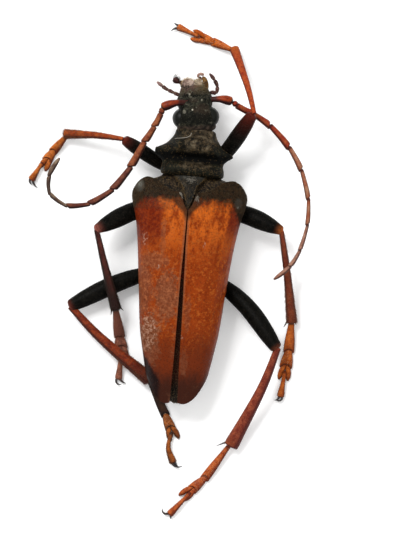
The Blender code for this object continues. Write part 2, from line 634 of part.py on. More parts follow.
shield = bmesh.new()
bmesh.ops.create_grid(shield, x_segments=3, y_segments=5, size=0.5)
for vert in shield.verts:
    y = SCUTELLUM_TIP + 0.35 + (SCUTELLUM_FRONT - SCUTELLUM_TIP - 0.35) * (vert.co.y + 0.5)
    x = 2 * vert.co.x * (scutellum_half_width(y) - 0.04)
    vert.co = Vector((seam_x(y) + x, y, between(BACK_HEIGHT, y) + 0.08 - 0.25 * x * x)) * MM
bmesh.ops.triangulate(shield, faces=shield.faces)
scutellum = add_part("scutellum", shield, chitin_black, (0, SCUTELLUM_TIP, 6.5), pterothorax)
thickness = scutellum.modifiers.new("thickness", "SOLIDIFY")
thickness.thickness = SHELL * MM
thickness.offset = -1.0

for name, side in (("elytron_left", -1), ("elytron_right", 1)):
    case = add_part(name, elytron(side), wing_case, (side * 3.3, 7.4, 5.0), pterothorax)
    thickness = case.modifiers.new("thickness", "SOLIDIFY")
    thickness.thickness = SHELL * MM
    thickness.offset = -1.0

# Head and mouthparts
skull = trunk(0.0, HEAD_LENGTH, 12, head_ring, 20)
sockets = [ellipsoid((side * EYE_AT.x, EYE_AT.y, EYE_AT.z), EYE_RADII, GAP, 14, 9) for side in (-1, 1)]
skull = placed(carved("head", skull, sockets), HEAD_AT, HEAD_TURN)
head = add_part("head", skull, chitin_black, HEAD_AT, prothorax)
for name, side in (("left", -1), ("right", 1)):
    eye = placed(ellipsoid((side * EYE_AT.x, EYE_AT.y, EYE_AT.z), EYE_RADII, 0.0, 14, 9), HEAD_AT, HEAD_TURN)
    add_part("eye_" + name, eye, eye_gloss, on_head(side * EYE_AT.x, EYE_AT.y, EYE_AT.z), head)

    jaw = [on_head(side * 1.0, 4.6, 3.1), on_head(side * 0.7, 4.68, 3.1), on_head(side * 0.28, 4.72, 3.1)]
    blade = taper(jaw, [(0, 0.26), (0.5, 0.25), (1, 0.12)], 5, 8, 0.6)
    add_part("mandible_" + name, blade, chitin_dark_red, jaw[0], head)

lip = taper([on_head(0, HEAD_LENGTH + GAP, 3.76), on_head(0, 4.6, 3.76), on_head(0, 4.85, 3.72)],
            [(0, 1.05), (0.5, 1.12), (1, 0.8)], 4, 12, 0.26)
add_part("labrum", lip, lip_straw, on_head(0, HEAD_LENGTH + GAP, 3.7), head)

PALPS = {
    "palp_maxillary_left": [on_head(-1.78, 3.3, 2.9), (-3.1, 16.65, 2.85), (-4.15, 17.35, 3.0)],
    "palp_maxillary_right": [on_head(1.78, 3.25, 2.9), (2.1, 16.8, 2.75), (1.98, 17.4, 2.8),
                             (1.3, 18.45, 2.9)],
    "palp_labial_left": [on_head(-0.75, HEAD_LENGTH + GAP + 0.15, 2.45), (-1.6, 17.4, 2.3),
                         (-2.45, 17.75, 2.3)],
    "palp_labial_right": [on_head(0.6, HEAD_LENGTH + GAP + 0.15, 2.45), (0.55, 17.9, 2.3),
                          (0.75, 18.35, 2.2)],
}
PALP_SWELL = [(0, 0.22), (0.3, 0.26), (0.36, 0.22), (0.62, 0.27), (0.68, 0.22), (0.9, 0.27), (1, 0.16)]
for name, line in PALPS.items():
    palp = taper(line, PALP_SWELL, 9, 6)
    add_part(name, palp, chitin_dark_red, line[0], head)

# Antennae
for side, sign in (("left", -1), ("right", 1)):
    x, y, z = SCAPE_ROOT
    root = on_head(sign * x, y, z)
    end = Vector(SCAPE_END[side])
    scape = taper([root, root.lerp(end, 0.55) + UP * 0.1, end],
                  [(0, 0.27), (0.15, 0.3), (0.8, 0.43), (1, 0.36)], 6, 10)
    parent = add_part(f"antenna_{side}_scape", scape, chitin_rufous, root, head)
    route = smooth_path(FLAGELLUM[side], 200)
    for length, (first, last) in ANTENNA_LENGTHS.items():
        piece = antenna_piece(first, last, route, JOINT_ENDS)
        parent = add_part(f"antenna_{side}_{length}", piece, chitin_rufous, route[0], parent)

# Legs
for leg in LEG_JOINTS:
    hip, knee, ankle = (Vector(point) for point in LEG_JOINTS[leg][:3])
    carrier = prothorax if leg.startswith("fore") else pterothorax
    hip_ball = fused("coxa_" + leg, list(coxa_with_trochanter(leg)))
    coxa = add_part("coxa_" + leg, hip_ball, chitin_black, trochanter_line(leg)[0], carrier)
    thigh = carved("femur_" + leg, femur_shape(leg), list(coxa_with_trochanter(leg, GAP)))
    femur = add_part("femur_" + leg, thigh, chitin_black, hip, coxa)
    shin = carved("tibia_" + leg, tibia_with_spurs(leg), [femur_shape(leg, GAP)])
    tibia = add_part("tibia_" + leg, shin, chitin_rufous, knee, femur)
    toes = carved("tarsus_" + leg, foot(leg), [tibia_shape(leg, GAP)])
    cut_at_floor(toes)
    add_part("tarsus_" + leg, toes, chitin_orange, ankle, tibia)
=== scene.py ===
"""The finished look of the longhorn beetle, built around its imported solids.

Lengths here are in millimetres and become metres where a mesh is made.
+Y runs along the wing cases towards the head, +X is the beetle's right and +Z is up.
"""
import math

import bmesh
import bpy
import numpy as np
from mathutils import Matrix, Vector


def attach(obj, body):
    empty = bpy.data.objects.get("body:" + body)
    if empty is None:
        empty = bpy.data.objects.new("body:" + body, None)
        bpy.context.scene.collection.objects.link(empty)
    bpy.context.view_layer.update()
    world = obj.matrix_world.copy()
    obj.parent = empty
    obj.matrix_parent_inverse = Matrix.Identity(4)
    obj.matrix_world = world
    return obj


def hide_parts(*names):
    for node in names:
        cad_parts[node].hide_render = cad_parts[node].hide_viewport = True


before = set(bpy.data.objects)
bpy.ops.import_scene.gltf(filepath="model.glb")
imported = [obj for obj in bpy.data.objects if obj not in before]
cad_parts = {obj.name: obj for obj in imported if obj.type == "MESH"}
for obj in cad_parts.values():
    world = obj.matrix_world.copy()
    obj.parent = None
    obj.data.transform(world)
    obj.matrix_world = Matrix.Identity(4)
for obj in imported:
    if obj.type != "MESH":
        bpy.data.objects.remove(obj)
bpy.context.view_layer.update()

# The board, the lamps and the camera
# A white card lies under the beetle and glows faintly of itself, which lightens the shadows on it.
# Soft lamps stand above its left shoulder and a weak one on its right, and the camera looks straight down.
MM = 0.001
VIEW_CENTRE = (1.548, -2.311)
VIEW_WIDTH = 41.72
VIEW_TURN = 3.4
CAMERA_HEIGHT = 1200.0
LOOK_HEIGHT = 3.0
SENSOR = 36.0
CARD_HALF = 400.0
CARD_SHADES = ((0.94, 0.94, 0.93, 1.0), (0.97, 0.97, 0.97, 1.0))
CARD_GLOW = 0.13
ROOM_LIGHT = 0.78
WHITE = (1.0, 1.0, 1.0, 1.0)
# Place, width and power of each lamp
LAMPS = {"window": ((-300, 380, 600), 340, 4.4), "reflector": ((440, -120, 520), 480, 0.65),
         "flash": ((-210, 300, 620), 45, 0.3)}


def put(tree, kind, sources=None, **settings):
    """Add a shader node, set its settings, and set or link its inputs."""
    made = tree.nodes.new("ShaderNode" + kind)
    for key, value in settings.items():
        setattr(made, key, value)
    for key, value in (sources or {}).items():
        if isinstance(value, bpy.types.NodeSocket):
            tree.links.new(value, made.inputs[key])
        else:
            made.inputs[key].default_value = value
    return made


def millimetres(tree):
    """Object coordinates in millimetres."""
    coords = put(tree, "TexCoord").outputs["Object"]
    return put(tree, "VectorMath", {0: coords, "Scale": 1 / MM}, operation="SCALE").outputs["Vector"]


def noise(tree, scale, detail, roughness=0.5, vector=None):
    """Fractal noise, its scale in waves per millimetre."""
    sources = {"Scale": scale, "Detail": detail, "Roughness": roughness,
               "Vector": vector or millimetres(tree)}
    return put(tree, "TexNoise", sources).outputs["Fac"]


def plain_material(name, roughness, **values):
    """A material with one Principled shader, its node tree and that shader."""
    made = bpy.data.materials.new(name)
    made.use_nodes = True
    shader = made.node_tree.nodes["Principled BSDF"]
    for key, value in {"Roughness": roughness, **values}.items():
        shader.inputs[key.replace("_", " ")].default_value = value
    return made, made.node_tree, shader


def add(name, data):
    """New object of the scene."""
    made = bpy.data.objects.new(name, data)
    bpy.context.scene.collection.objects.link(made)
    return made


def object_from(name, bm, look, smooth_below=50):
    """Object of a bmesh. Its faces are sorted, because the operators leave them in another order each run."""
    bm.verts.index_update()
    rings = [[vert.index for vert in face.verts] for face in bm.faces]
    firsts = [ring.index(min(ring)) for ring in rings]
    mesh = bpy.data.meshes.new(name)
    mesh.from_pydata([vert.co for vert in bm.verts], [],
                     sorted(ring[first:] + ring[:first] for ring, first in zip(rings, firsts)))
    place = bm.verts.layers.float_vector.get("place")
    if place:
        spots = mesh.attributes.new("place", "FLOAT_VECTOR", "POINT")
        spots.data.foreach_set("vector", [number for vert in bm.verts for number in vert[place]])
    bm.free()
    mesh.shade_smooth()
    mesh.set_sharp_from_angle(angle=math.radians(smooth_below))
    mesh.materials.append(look)
    return add(name, mesh)


card, tree, shader = plain_material("white_card", 0.9, Emission_Color=WHITE, Emission_Strength=CARD_GLOW)
tint = put(tree, "Mix", {"Factor": noise(tree, 0.9, 3.0), "A": CARD_SHADES[0], "B": CARD_SHADES[1]},
           data_type="RGBA")
tree.links.new(tint.outputs["Result"], shader.inputs["Base Color"])
board = bmesh.new()
bmesh.ops.create_grid(board, x_segments=1, y_segments=1, size=CARD_HALF * MM)
object_from("card", board, card)

for name, (place, size, power) in LAMPS.items():
    lamp = bpy.data.lights.new(name, "AREA")
    lamp.shape = "DISK"
    lamp.size = size * MM
    lamp.energy = power
    stand = add(name, lamp)
    stand.location = Vector(place) * MM
    stand.rotation_euler = (-stand.location).to_track_quat("-Z", "Y").to_euler()

room = bpy.data.worlds.new("room")
room.use_nodes = True
room.node_tree.nodes["Background"].inputs["Color"].default_value = WHITE
room.node_tree.nodes["Background"].inputs["Strength"].default_value = ROOM_LIGHT
bpy.context.scene.world = room
bpy.context.scene.view_settings.view_transform = "Standard"

camera = add("camera", bpy.data.cameras.new("camera"))
camera.data.sensor_fit = "HORIZONTAL"
camera.data.sensor_width = SENSOR
camera.data.lens = SENSOR * (CAMERA_HEIGHT - LOOK_HEIGHT) / VIEW_WIDTH
camera.location = Vector((*VIEW_CENTRE, CAMERA_HEIGHT)) * MM
camera.rotation_euler = (0.0, 0.0, math.radians(VIEW_TURN))
bpy.context.scene.camera = camera


# Abdomen: five horny plates below and a softer back under the wing cases
# Each plate overlaps the next like a roof tile. The plates are black brown, finely
# pitted and clothed in short grey gold hair.
UP = Vector((0.0, 0.0, 1.0))
SHELL = 0.5
GAP = 0.3
BACK_HEIGHT = [(-16.4, 3.7), (-14.5, 4.7), (-11.0, 5.75), (-6.0, 6.8), (0.0, 7.3), (3.5, 7.3),
               (5.5, 6.9), (7.6, 5.9)]
HALF_WIDTH = [(-16.4, 2.6), (-14.8, 2.8), (-13.0, 3.25), (-10.7, 3.72), (-8.5, 4.12), (-4.2, 4.55),
              (0.5, 5.05), (3.0, 5.45), (4.6, 5.85), (5.5, 6.0), (7.6, 6.0)]
ABDOMEN_FRONT = -2.6
ABDOMEN_REAR = -16.0
PLATES = 5
PLATE_STEP = 0.12
PLATE_RISE, PLATE_DROP = 0.93, 0.07
WAIST = -3.2


def between(keys, at):
    """Value at `at` on the smooth line through (position, value) keys, with no overshoot."""
    places = [key[0] for key in keys]
    values = [key[1] for key in keys]
    if at <= places[0]:
        return values[0]
    if at >= places[-1]:
        return values[-1]
    last = len(keys) - 1
    slopes = [(values[i + 1] - values[i]) / (places[i + 1] - places[i]) for i in range(last)]
    tangents = [slopes[0]]
    for before, after in zip(slopes, slopes[1:]):
        tangents.append(0.0 if before * after <= 0.0 else 2.0 * before * after / (before + after))
    tangents.append(slopes[-1])
    i = max(k for k in range(last) if places[k] <= at)
    span = places[i + 1] - places[i]
    t = (at - places[i]) / span
    return ((1 + 2 * t) * (1 - t) ** 2 * values[i] + t * (1 - t) ** 2 * span * tangents[i]
            + t * t * (3 - 2 * t) * values[i + 1] + t * t * (t - 1) * span * tangents[i + 1])


def bump(value, middle, spread):
    """1 at the middle, falling smoothly to nothing over the spread on both sides."""
    return math.exp(-((value - middle) / spread) ** 2)


def arch(turn, half_width, low, middle, high, top_power=2.3, low_power=1.75):
    """Point (x, z) of a trunk section: one rounded arch over another, widest at the middle height."""
    across, upward = math.cos(turn), math.sin(turn)
    power = 2.0 / (top_power if upward >= 0 else low_power)
    depth = high - middle if upward >= 0 else middle - low
    return (half_width * math.copysign(abs(across) ** power, across),
            middle + depth * math.copysign(abs(upward) ** power, upward))


def skin(section, along, around):
    """Closed bmesh: a sphere whose rings are moved to section(share of the length, turn), in millimetres."""
    bm = bmesh.new()
    bmesh.ops.create_uvsphere(bm, u_segments=around, v_segments=along + 2, radius=1.0)
    place = bm.verts.layers.float_vector.new("place")
    poles = []
    for vert in bm.verts:
        share = (math.acos(max(-1.0, min(1.0, -vert.co.z))) / math.pi * (along + 2) - 1) / along
        turn = math.atan2(vert.co.y, vert.co.x)
        if not -0.5 / along < share < 1 + 0.5 / along:
            poles.append(vert)
            vert[place] = (0.5, min(1.0, max(0.0, share)), 0.0)
            continue
        share = min(1.0, max(0.0, share))
        vert[place] = (turn / (2 * math.pi) + 0.5, share, 0.0)
        point = section(share, turn)
        vert.co = Vector((point[0], point[1], max(0.0, point[2]))) * MM
    for pole in poles:
        ring = [edge.other_vert(pole).co for edge in pole.link_edges]
        pole.co = sum(ring, Vector()) / len(ring)
    bmesh.ops.recalc_face_normals(bm, faces=bm.faces)
    return bm


def bristle_shape():
    """One bristle, a three-sided spike cut once across: places across it, places along it, triangles."""
    bm = bmesh.new()
    bmesh.ops.create_cone(bm, segments=3, radius1=1.0, radius2=0.15, depth=1.0)
    bmesh.ops.translate(bm, vec=(0, 0, 0.5), verts=bm.verts)
    geometry = list(bm.verts) + list(bm.edges) + list(bm.faces)
    bmesh.ops.bisect_plane(bm, geom=geometry, plane_co=(0, 0, 0.5), plane_no=(0, 0, 1))
    bmesh.ops.triangulate(bm, faces=bm.faces)
    bm.verts.index_update()
    points = np.array([vert.co for vert in bm.verts])
    triangles = np.array([[vert.index for vert in face.verts] for face in bm.faces])
    bm.free()
    return points[:, :2], points[:, 2], triangles


BRISTLE_ACROSS, BRISTLE_ALONG, BRISTLE_FACES = bristle_shape()
BRISTLE_CURL = 0.6
BRISTLE_TAPER = 0.55
LIFT_RANGE = (0.7, 1.3)
LENGTH_RANGE = (0.6, 1.25)
BAKE_PATCH = 0.003


def threes(items, field, kind=np.float32):
    """Array of the three numbers that each item of a mesh has in a field."""
    values = np.zeros(len(items) * 3, kind)
    items.foreach_get(field, values)
    return values.reshape(-1, 3)


def bristles(name, piece, count, length, width, comb, lift, look, seed, where=None, scatter=0.35):
    """Short hair on a piece: comb is the way it lies, lift how steeply it stands, where its density."""
    draw = np.random.default_rng(seed)
    mesh = piece.data
    mesh.calc_loop_triangles()
    corners = threes(mesh.loop_triangles, "vertices", np.int32)
    points = threes(mesh.vertices, "co").astype(float) / MM
    places = threes(mesh.attributes["place"].data, "vector").astype(float)
    a, b, c = (points[corners[:, i]] for i in range(3))
    normals = np.cross(b - a, c - a)
    areas = np.linalg.norm(normals, axis=1)
    normals /= np.maximum(areas, 1e-12)[:, None]
    weights = areas * where((a + b + c) / 3, normals, places[corners[:, 0]]) if where else areas
    picked = draw.choice(len(corners), count, p=weights / weights.sum())
    one, two = draw.random(count), draw.random(count)
    over = one + two > 1
    one[over], two[over] = 1 - one[over], 1 - two[over]
    roots = a[picked] + (b - a)[picked] * one[:, None] + (c - a)[picked] * two[:, None]
    normal = normals[picked]
    way = np.broadcast_to(np.asarray(comb(roots) if callable(comb) else comb, float), roots.shape)
    way = way - normal * (way * normal).sum(1)[:, None]
    way /= np.maximum(np.linalg.norm(way, axis=1), 1e-6)[:, None]
    side = np.cross(normal, way)
    angle = draw.normal(0.0, scatter, count)[:, None]
    way, side = way * np.cos(angle) + side * np.sin(angle), side * np.cos(angle) - way * np.sin(angle)
    rise = lift * draw.uniform(*LIFT_RANGE, count)[:, None]
    reach = length * draw.uniform(*LENGTH_RANGE, count)[:, None]
    share = BRISTLE_ALONG[None, :, None]
    spine = (roots - normal * width)[:, None, :] + reach[:, None, :] * (
        way[:, None, :] * share * (1 - 0.5 * rise[:, None, :] * (1 - share))
        + normal[:, None, :] * rise[:, None, :] * (share - BRISTLE_CURL * share ** 2 / 2))
    girth = width * (1 - BRISTLE_TAPER * share)
    verts = (spine + side[:, None, :] * BRISTLE_ACROSS[None, :, :1] * girth
             + normal[:, None, :] * BRISTLE_ACROSS[None, :, 1:] * girth)
    verts[:, :, 2] = np.maximum(verts[:, :, 2], 0.0)
    faces = BRISTLE_FACES[None, :, :] + (np.arange(count) * len(BRISTLE_ALONG))[:, None, None]
    faces = faces.reshape(-1, 3)
    hair = bpy.data.meshes.new(name)
    hair.from_pydata((verts.reshape(-1, 3) * MM).tolist(), [], faces.tolist())
    patch = np.stack([BRISTLE_ACROSS[:, 0], BRISTLE_ALONG * 2 - 1], axis=1) * BAKE_PATCH / 2
    spots = (np.clip(places[corners[picked, 0]][:, :2], 0.01, 0.99)[:, None, :] + patch[None]).reshape(-1, 2)
    bake = hair.uv_layers.new(name="OFBake")
    bake.data.foreach_set("uv", spots[faces.reshape(-1)].astype(np.float32).reshape(-1))
    hair.shade_smooth()
    hair.materials.append(look)
    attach(add(name, hair), "root")


def group(name, inputs, outputs):
    """A shader node group of numbers, the sockets that give its inputs and those that take its outputs."""
    made = bpy.data.node_groups.new(name, "ShaderNodeTree")
    for label, value in inputs.items():
        made.interface.new_socket(label, in_out="INPUT", socket_type="NodeSocketFloat").default_value = value
    for label in outputs:
        made.interface.new_socket(label, in_out="OUTPUT", socket_type="NodeSocketFloat")
    return made, made.nodes.new("NodeGroupInput").outputs, made.nodes.new("NodeGroupOutput").inputs


def use(tree, which, **values):
    """Outputs of a node group that is given these values."""
    return put(tree, "Group", values, node_tree=which).outputs


def maths(tree, operation, *values):
    """Output of a Math node."""
    return put(tree, "Math", dict(enumerate(values)), operation=operation).outputs[0]


def axes(tree, vector):
    """The X, Y and Z of a vector."""
    return put(tree, "SeparateXYZ", {0: vector}).outputs


def along_piece(tree):
    """Where a point lies on its piece, from 0 to 1: X across or around it, Y along it."""
    return axes(tree, put(tree, "Attribute", attribute_name="place").outputs["Vector"])


def ramp(tree, value, low, high):
    """0 below low, 1 above high, smooth between; low may be the larger."""
    return put(tree, "MapRange", {"Value": value, "From Min": low, "From Max": high},
               interpolation_type="SMOOTHSTEP").outputs["Result"]


def paint(red, green, blue):
    """Shader colour of a paint chip whose red, green and blue run from 0 to 255."""
    shares = [value / 255.0 for value in (red, green, blue)]
    return tuple(s / 12.92 if s <= 0.04045 else ((s + 0.055) / 1.055) ** 2.4 for s in shares) + (1.0,)


MIX_FIRST, MIX_SECOND, MIX_RESULT = 6, 7, 2


def mix(tree, factor, first, second):
    """Colour that goes from the first to the second with the factor; each is a socket or a paint chip."""
    first, second = (chip if isinstance(chip, bpy.types.NodeSocket) else paint(*chip)
                     for chip in (first, second))
    made = put(tree, "Mix", {"Factor": factor, MIX_FIRST: first, MIX_SECOND: second}, data_type="RGBA",
               clamp_factor=True)
    return made.outputs[MIX_RESULT]


# Pits with rounded floors, spaced by Spacing, over a fine wrinkled grain
pitted, given, result = group("pitted_cuticle", {"Spacing": 0.2, "Pits": 1.0, "Grain": 0.4},
                              ["Height", "Pit"])
density = maths(pitted, "DIVIDE", 1.0, given["Spacing"])
cells = put(pitted, "TexVoronoi", {"Vector": millimetres(pitted), "Scale": density}).outputs["Distance"]
pit = ramp(pitted, cells, 0.12, 0.5)
deep = maths(pitted, "MULTIPLY", pit, given["Pits"])
height = maths(pitted, "MULTIPLY_ADD", noise(pitted, 9.0, 4.0, 0.65), given["Grain"], deep)
pitted.links.new(height, result["Height"])
pitted.links.new(pit, result["Pit"])

# Patches of dust: large soft blots broken up by a fine speckle
dusty, given, result = group("dust", {"Amount": 0.3, "Size": 2.0}, ["Mask"])
blots = noise(dusty, maths(dusty, "DIVIDE", 1.0, given["Size"]), 3.0, 0.6)
speckled = maths(dusty, "MULTIPLY_ADD", noise(dusty, 6.0, 5.0, 0.75), 0.45, blots)
clean = maths(dusty, "SUBTRACT", 0.98, given["Amount"])
dusty.links.new(ramp(dusty, speckled, clean, maths(dusty, "ADD", clean, 0.3)), result["Mask"])

# A ragged oval patch, placed and sized in millimetres on the plan of the beetle
blotch, given, result = group("blotch", {"X": 0.0, "Y": 0.0, "Across": 1.0, "Along": 1.0, "Ragged": 0.8},
                              ["Mask"])
spot = axes(blotch, millimetres(blotch))
off = {number: maths(blotch, "DIVIDE", maths(blotch, "SUBTRACT", spot[axis], given[axis]), given[size])
       for number, (axis, size) in enumerate((("X", "Across"), ("Y", "Along")))}
off = put(blotch, "CombineXYZ", off).outputs[0]
reach = put(blotch, "VectorMath", {0: off}, operation="LENGTH").outputs["Value"]
edge = maths(blotch, "SUBTRACT", noise(blotch, 2.2, 5.0, 0.7), 0.5)
reach = maths(blotch, "MULTIPLY_ADD", edge, given["Ragged"], reach)
blotch.links.new(ramp(blotch, reach, 1.2, 0.7), result["Mask"])


def in_pits(tree, relief, darkening, pit_colour, colour):
    """The colour, turned towards that of the pits inside them."""
    return mix(tree, maths(tree, "MULTIPLY_ADD", relief["Pit"], darkening, 1 - darkening), pit_colour, colour)


def coat(tree, shader, colour, height, depth, strength=0.8, **settings):
    """Give the shader its colour and the bumps of a height that goes over a depth in millimetres."""
    tree.links.new(colour, shader.inputs["Base Color"])
    lifted = put(tree, "Bump", {"Height": height, "Distance": depth * MM, "Strength": strength}, **settings)
    tree.links.new(lifted.outputs["Normal"], shader.inputs["Normal"])


def roughen(tree, shader, value, low, high):
    """Roughness that goes from low to high with the value."""
    rough = put(tree, "MapRange", {"Value": value, "To Min": low, "To Max": high})
    tree.links.new(rough.outputs["Result"], shader.inputs["Roughness"])


# Way the light comes from; limb flanks that face away from it take painted shade
LIT_WAY = (-0.15, 1.1, 1.0)


def cuticle(name, dark, light, roughness, spacing, pits, grain, depth, dust=0.1, dust_colour=(120, 105, 85),
            tip=None, tip_from=0.8, tip_fade=0.1, shine=0.06, root=None, root_to=0.15, back=None,
            flank_shade=None):
    """Horny skin: two shades that drift over it, pits, a little dust, other shades at its ends, and painted
    shade on flanks that face away from the light.
    """
    made, tree, shader = plain_material(name, roughness, Specular_IOR_Level=shine)
    relief = use(tree, pitted, Spacing=spacing, Pits=pits, Grain=grain)
    run = along_piece(tree)["Y"]
    colour = mix(tree, ramp(tree, noise(tree, 1.5, 5.0, 0.7), 0.38, 0.62), dark, light)
    if tip:
        colour = mix(tree, ramp(tree, run, tip_from - tip_fade, tip_from + tip_fade), colour, tip)
    if root:
        colour = mix(tree, ramp(tree, run, root_to + 0.05, root_to - 0.05), colour, root)
    # Painted shade: flanks that face away from LIT_WAY turn to the flank colour.
    if flank_shade:
        facing_light = put(tree, "VectorMath", {0: put(tree, "TexCoord").outputs["Normal"], 1: LIT_WAY},
                     operation="DOT_PRODUCT").outputs["Value"]
        colour = mix(tree, ramp(tree, facing_light, 1.12, 0.3), colour, flank_shade)
    colour = mix(tree, use(tree, dusty, Amount=dust, Size=1.6)["Mask"], colour, dust_colour)
    if back:
        at = axes(tree, millimetres(tree))
        under_cases = maths(tree, "MULTIPLY", ramp(tree, at["Z"], 3.6, 4.4), ramp(tree, at["Y"], 4.5, 3.5))
        colour = mix(tree, under_cases, colour, back)
    colour = in_pits(tree, relief, 0.5, [value * 0.45 for value in dark], colour)
    roughen(tree, shader, relief["Pit"], min(1.0, roughness + 0.25), roughness)
    coat(tree, shader, colour, relief["Height"], depth)
    return made


def hair_material(name, colour, end_colour):
    """Hair of a colour that drifts towards another."""
    made, tree, shader = plain_material(name, 0.45, Specular_IOR_Level=0.2)
    tree.links.new(mix(tree, noise(tree, 3.0, 2.0), colour, end_colour), shader.inputs["Base Color"])
    return made


def finish(piece, slot, *nodes):
    """The piece rides on the beetle and hides the CAD nodes it stands for; slot is not used."""
    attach(piece, "root")
    if nodes:
        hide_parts(*nodes)
    return piece


def abdomen_section(share, turn):
    """Point of the abdomen, whose belly plates swell towards their rear edges."""
    y = ABDOMEN_FRONT + (ABDOMEN_REAR - ABDOMEN_FRONT) * share
    inset = SHELL + GAP
    half = between([(-16.0, 0.5), (-15.6, 0.95), (-13.5, 1.9),
                    (-10.0, between(HALF_WIDTH, -10.0) - inset - 0.15),
                    (WAIST, between(HALF_WIDTH, WAIST) - inset)], y)
    high = between([(-16.0, 3.0), (-15.5, 3.3), (-12.0, between(BACK_HEIGHT, -12.0) - inset - 0.1),
                    (WAIST, between(BACK_HEIGHT, WAIST) - inset)], y)
    low = between([(-16.0, 2.4), (-15.3, 1.9), (-12.5, 0.95), (-8.0, 0.2), (WAIST, 0.05)], y)
    middle = between([(-16.0, 2.7), (-13.0, 2.4), (WAIST, 2.8)], y)
    within = (share * PLATES) % 1.0
    proud = PLATE_STEP * (within if within < PLATE_RISE else PLATE_RISE * (1 - within) / PLATE_DROP)
    x, z = arch(turn, half - 0.05 + proud, low + 0.06 - proud, middle, high)
    return x, y, z


belly_black = cuticle("belly_black", (18, 15, 13), (34, 27, 22), 0.38, 0.16, 0.5, 0.5, 0.03, 0.12,
                      back=(64, 28, 16))
gold_hair = hair_material("gold_hair", (116, 92, 56), (62, 48, 30))
abdomen = finish(object_from("abdomen_plates", skin(abdomen_section, 130, 72), belly_black, 35),
                 "black_cuticle", "abdomen")
bristles("abdomen_hair", abdomen, 9000, 0.42, 0.016, (0, -1, 0), 0.28, gold_hair, 11,
         lambda at, normal, place: np.clip(-normal[:, 2] + 0.25, 0, 1))


# Breast: the box of the middle and hind breast, with the hip pits below
# One hard black shell that carries the wing cases and the last four legs. Its front end
# runs as a dark neck into the collar, and a fine groove divides the hind breast below.
BREAST_REAR = -3.1
BREAST_FRONT = 8.2
GROOVE_DEPTH = 0.12
BREAST_SEAM = 2.85
BREAST_SEAM_DEPTH = 0.14
EDGE_HEIGHT = [(-16.4, 2.8), (-12.0, 2.75), (-6.0, 3.0), (0.0, 3.3), (3.8, 3.7), (7.6, 3.5)]


def breast_section(share, turn):
    """Point of the breast, with the lengthwise groove and the seam between its two halves below."""
    y = BREAST_REAR + (BREAST_FRONT - BREAST_REAR) * share
    inset = SHELL + GAP - 0.08
    half = between([(BREAST_REAR, between(HALF_WIDTH, BREAST_REAR) - inset),
                    (2.0, between(HALF_WIDTH, 2.0) - inset),
                    (5.2, 5.05), (6.3, 4.8), (6.9, 4.4), (7.24, 4.0), (7.42, 3.45), (7.6, 3.1), (8.2, 2.6)],
                   y)
    high = between(BACK_HEIGHT, y) - inset - between([(6.0, 0.0), (7.22, 0.25), (8.2, 0.5)], y)
    low = between([(BREAST_REAR, -0.12), (3.6, -0.12), (5.6, 0.7), (7.22, 2.2), (8.2, 2.5)], y)
    x, z = arch(turn, half, low, between(EDGE_HEIGHT, y), high)
    if z < 2.0:
        z += GROOVE_DEPTH * bump(x, 0.0, 0.12) * bump(y, -0.5, 3.0)
        z += BREAST_SEAM_DEPTH * bump(y, BREAST_SEAM + 0.25 * math.cos(x), 0.12)
    return x, y, z


breast_black = cuticle("breast_black", (16, 14, 12), (32, 26, 21), 0.42, 0.2, 0.6, 0.6, 0.04, 0.15,
                       back=(96, 24, 9))
breast = finish(object_from("breast_shell", skin(breast_section, 110, 88), breast_black, 50),
                "black_cuticle", "pterothorax")
bristles("breast_hair", breast, 11000, 0.5, 0.017, (0, -1, 0), 0.35, gold_hair, 12,
         lambda at, normal, place: np.clip(0.35 - normal[:, 2], 0, 1) * (at[:, 1] < 7.6))


# Collar: the prothorax, which carries the head and the front legs
# A ring of thick black horn with a blunt thorn on each side, two low humps on the back,
# a deep cross furrow and a raised rear band. Short gold brown hair covers the disc.
COLLAR_AT = Vector((0.09, 7.62, 0.0))
COLLAR_TURN = math.radians(-2.2)
COLLAR_LENGTH = 4.95
COLLAR_HALF_WIDTH = [(0.0, 3.25), (0.6, 3.3), (1.35, 3.15), (2.45, 3.15), (3.45, 2.72), (4.3, 2.2),
                     (4.95, 2.03)]
COLLAR_LOW = [(0.0, 2.0), (1.0, 1.75), (3.0, 1.95), (4.95, 2.35)]
COLLAR_HIGH = [(0.0, 5.5), (0.35, 5.95), (0.7, 6.12), (1.1, 6.05), (1.4, 5.6), (1.65, 5.3), (2.0, 5.35),
               (2.45, 5.8), (2.8, 6.2), (3.2, 6.35), (3.9, 6.0), (4.5, 5.45), (4.95, 5.3)]
# Shares of the length at which the furrow begins, is fully bare and painted dark, is so no more and ends
FURROW = (0.29, 0.34, 0.47, 0.56)
COLLAR_MIDDLE = 4.0
# Thorn: place along the collar, reach, spread along it and spread in height
SIDE_THORN = (2.43, 0.95, 0.5, 0.85)
# The left thorn against it: reach, cut-off and spread
BLUNT_THORN = (1.2, 0.82, 1.3)
# Hump: place along the collar, place across it, height and spread
BACK_HUMP = (3.0, 1.75, 0.32, 0.55)
MIDDLE_LINE_DEPTH = 0.1
WRINKLE = 0.08


def seated(point, at, turn):
    """A point of a piece's own frame, turned about Z and moved to its seat."""
    return Matrix.Rotation(turn, 3, "Z") @ Vector(point) + at


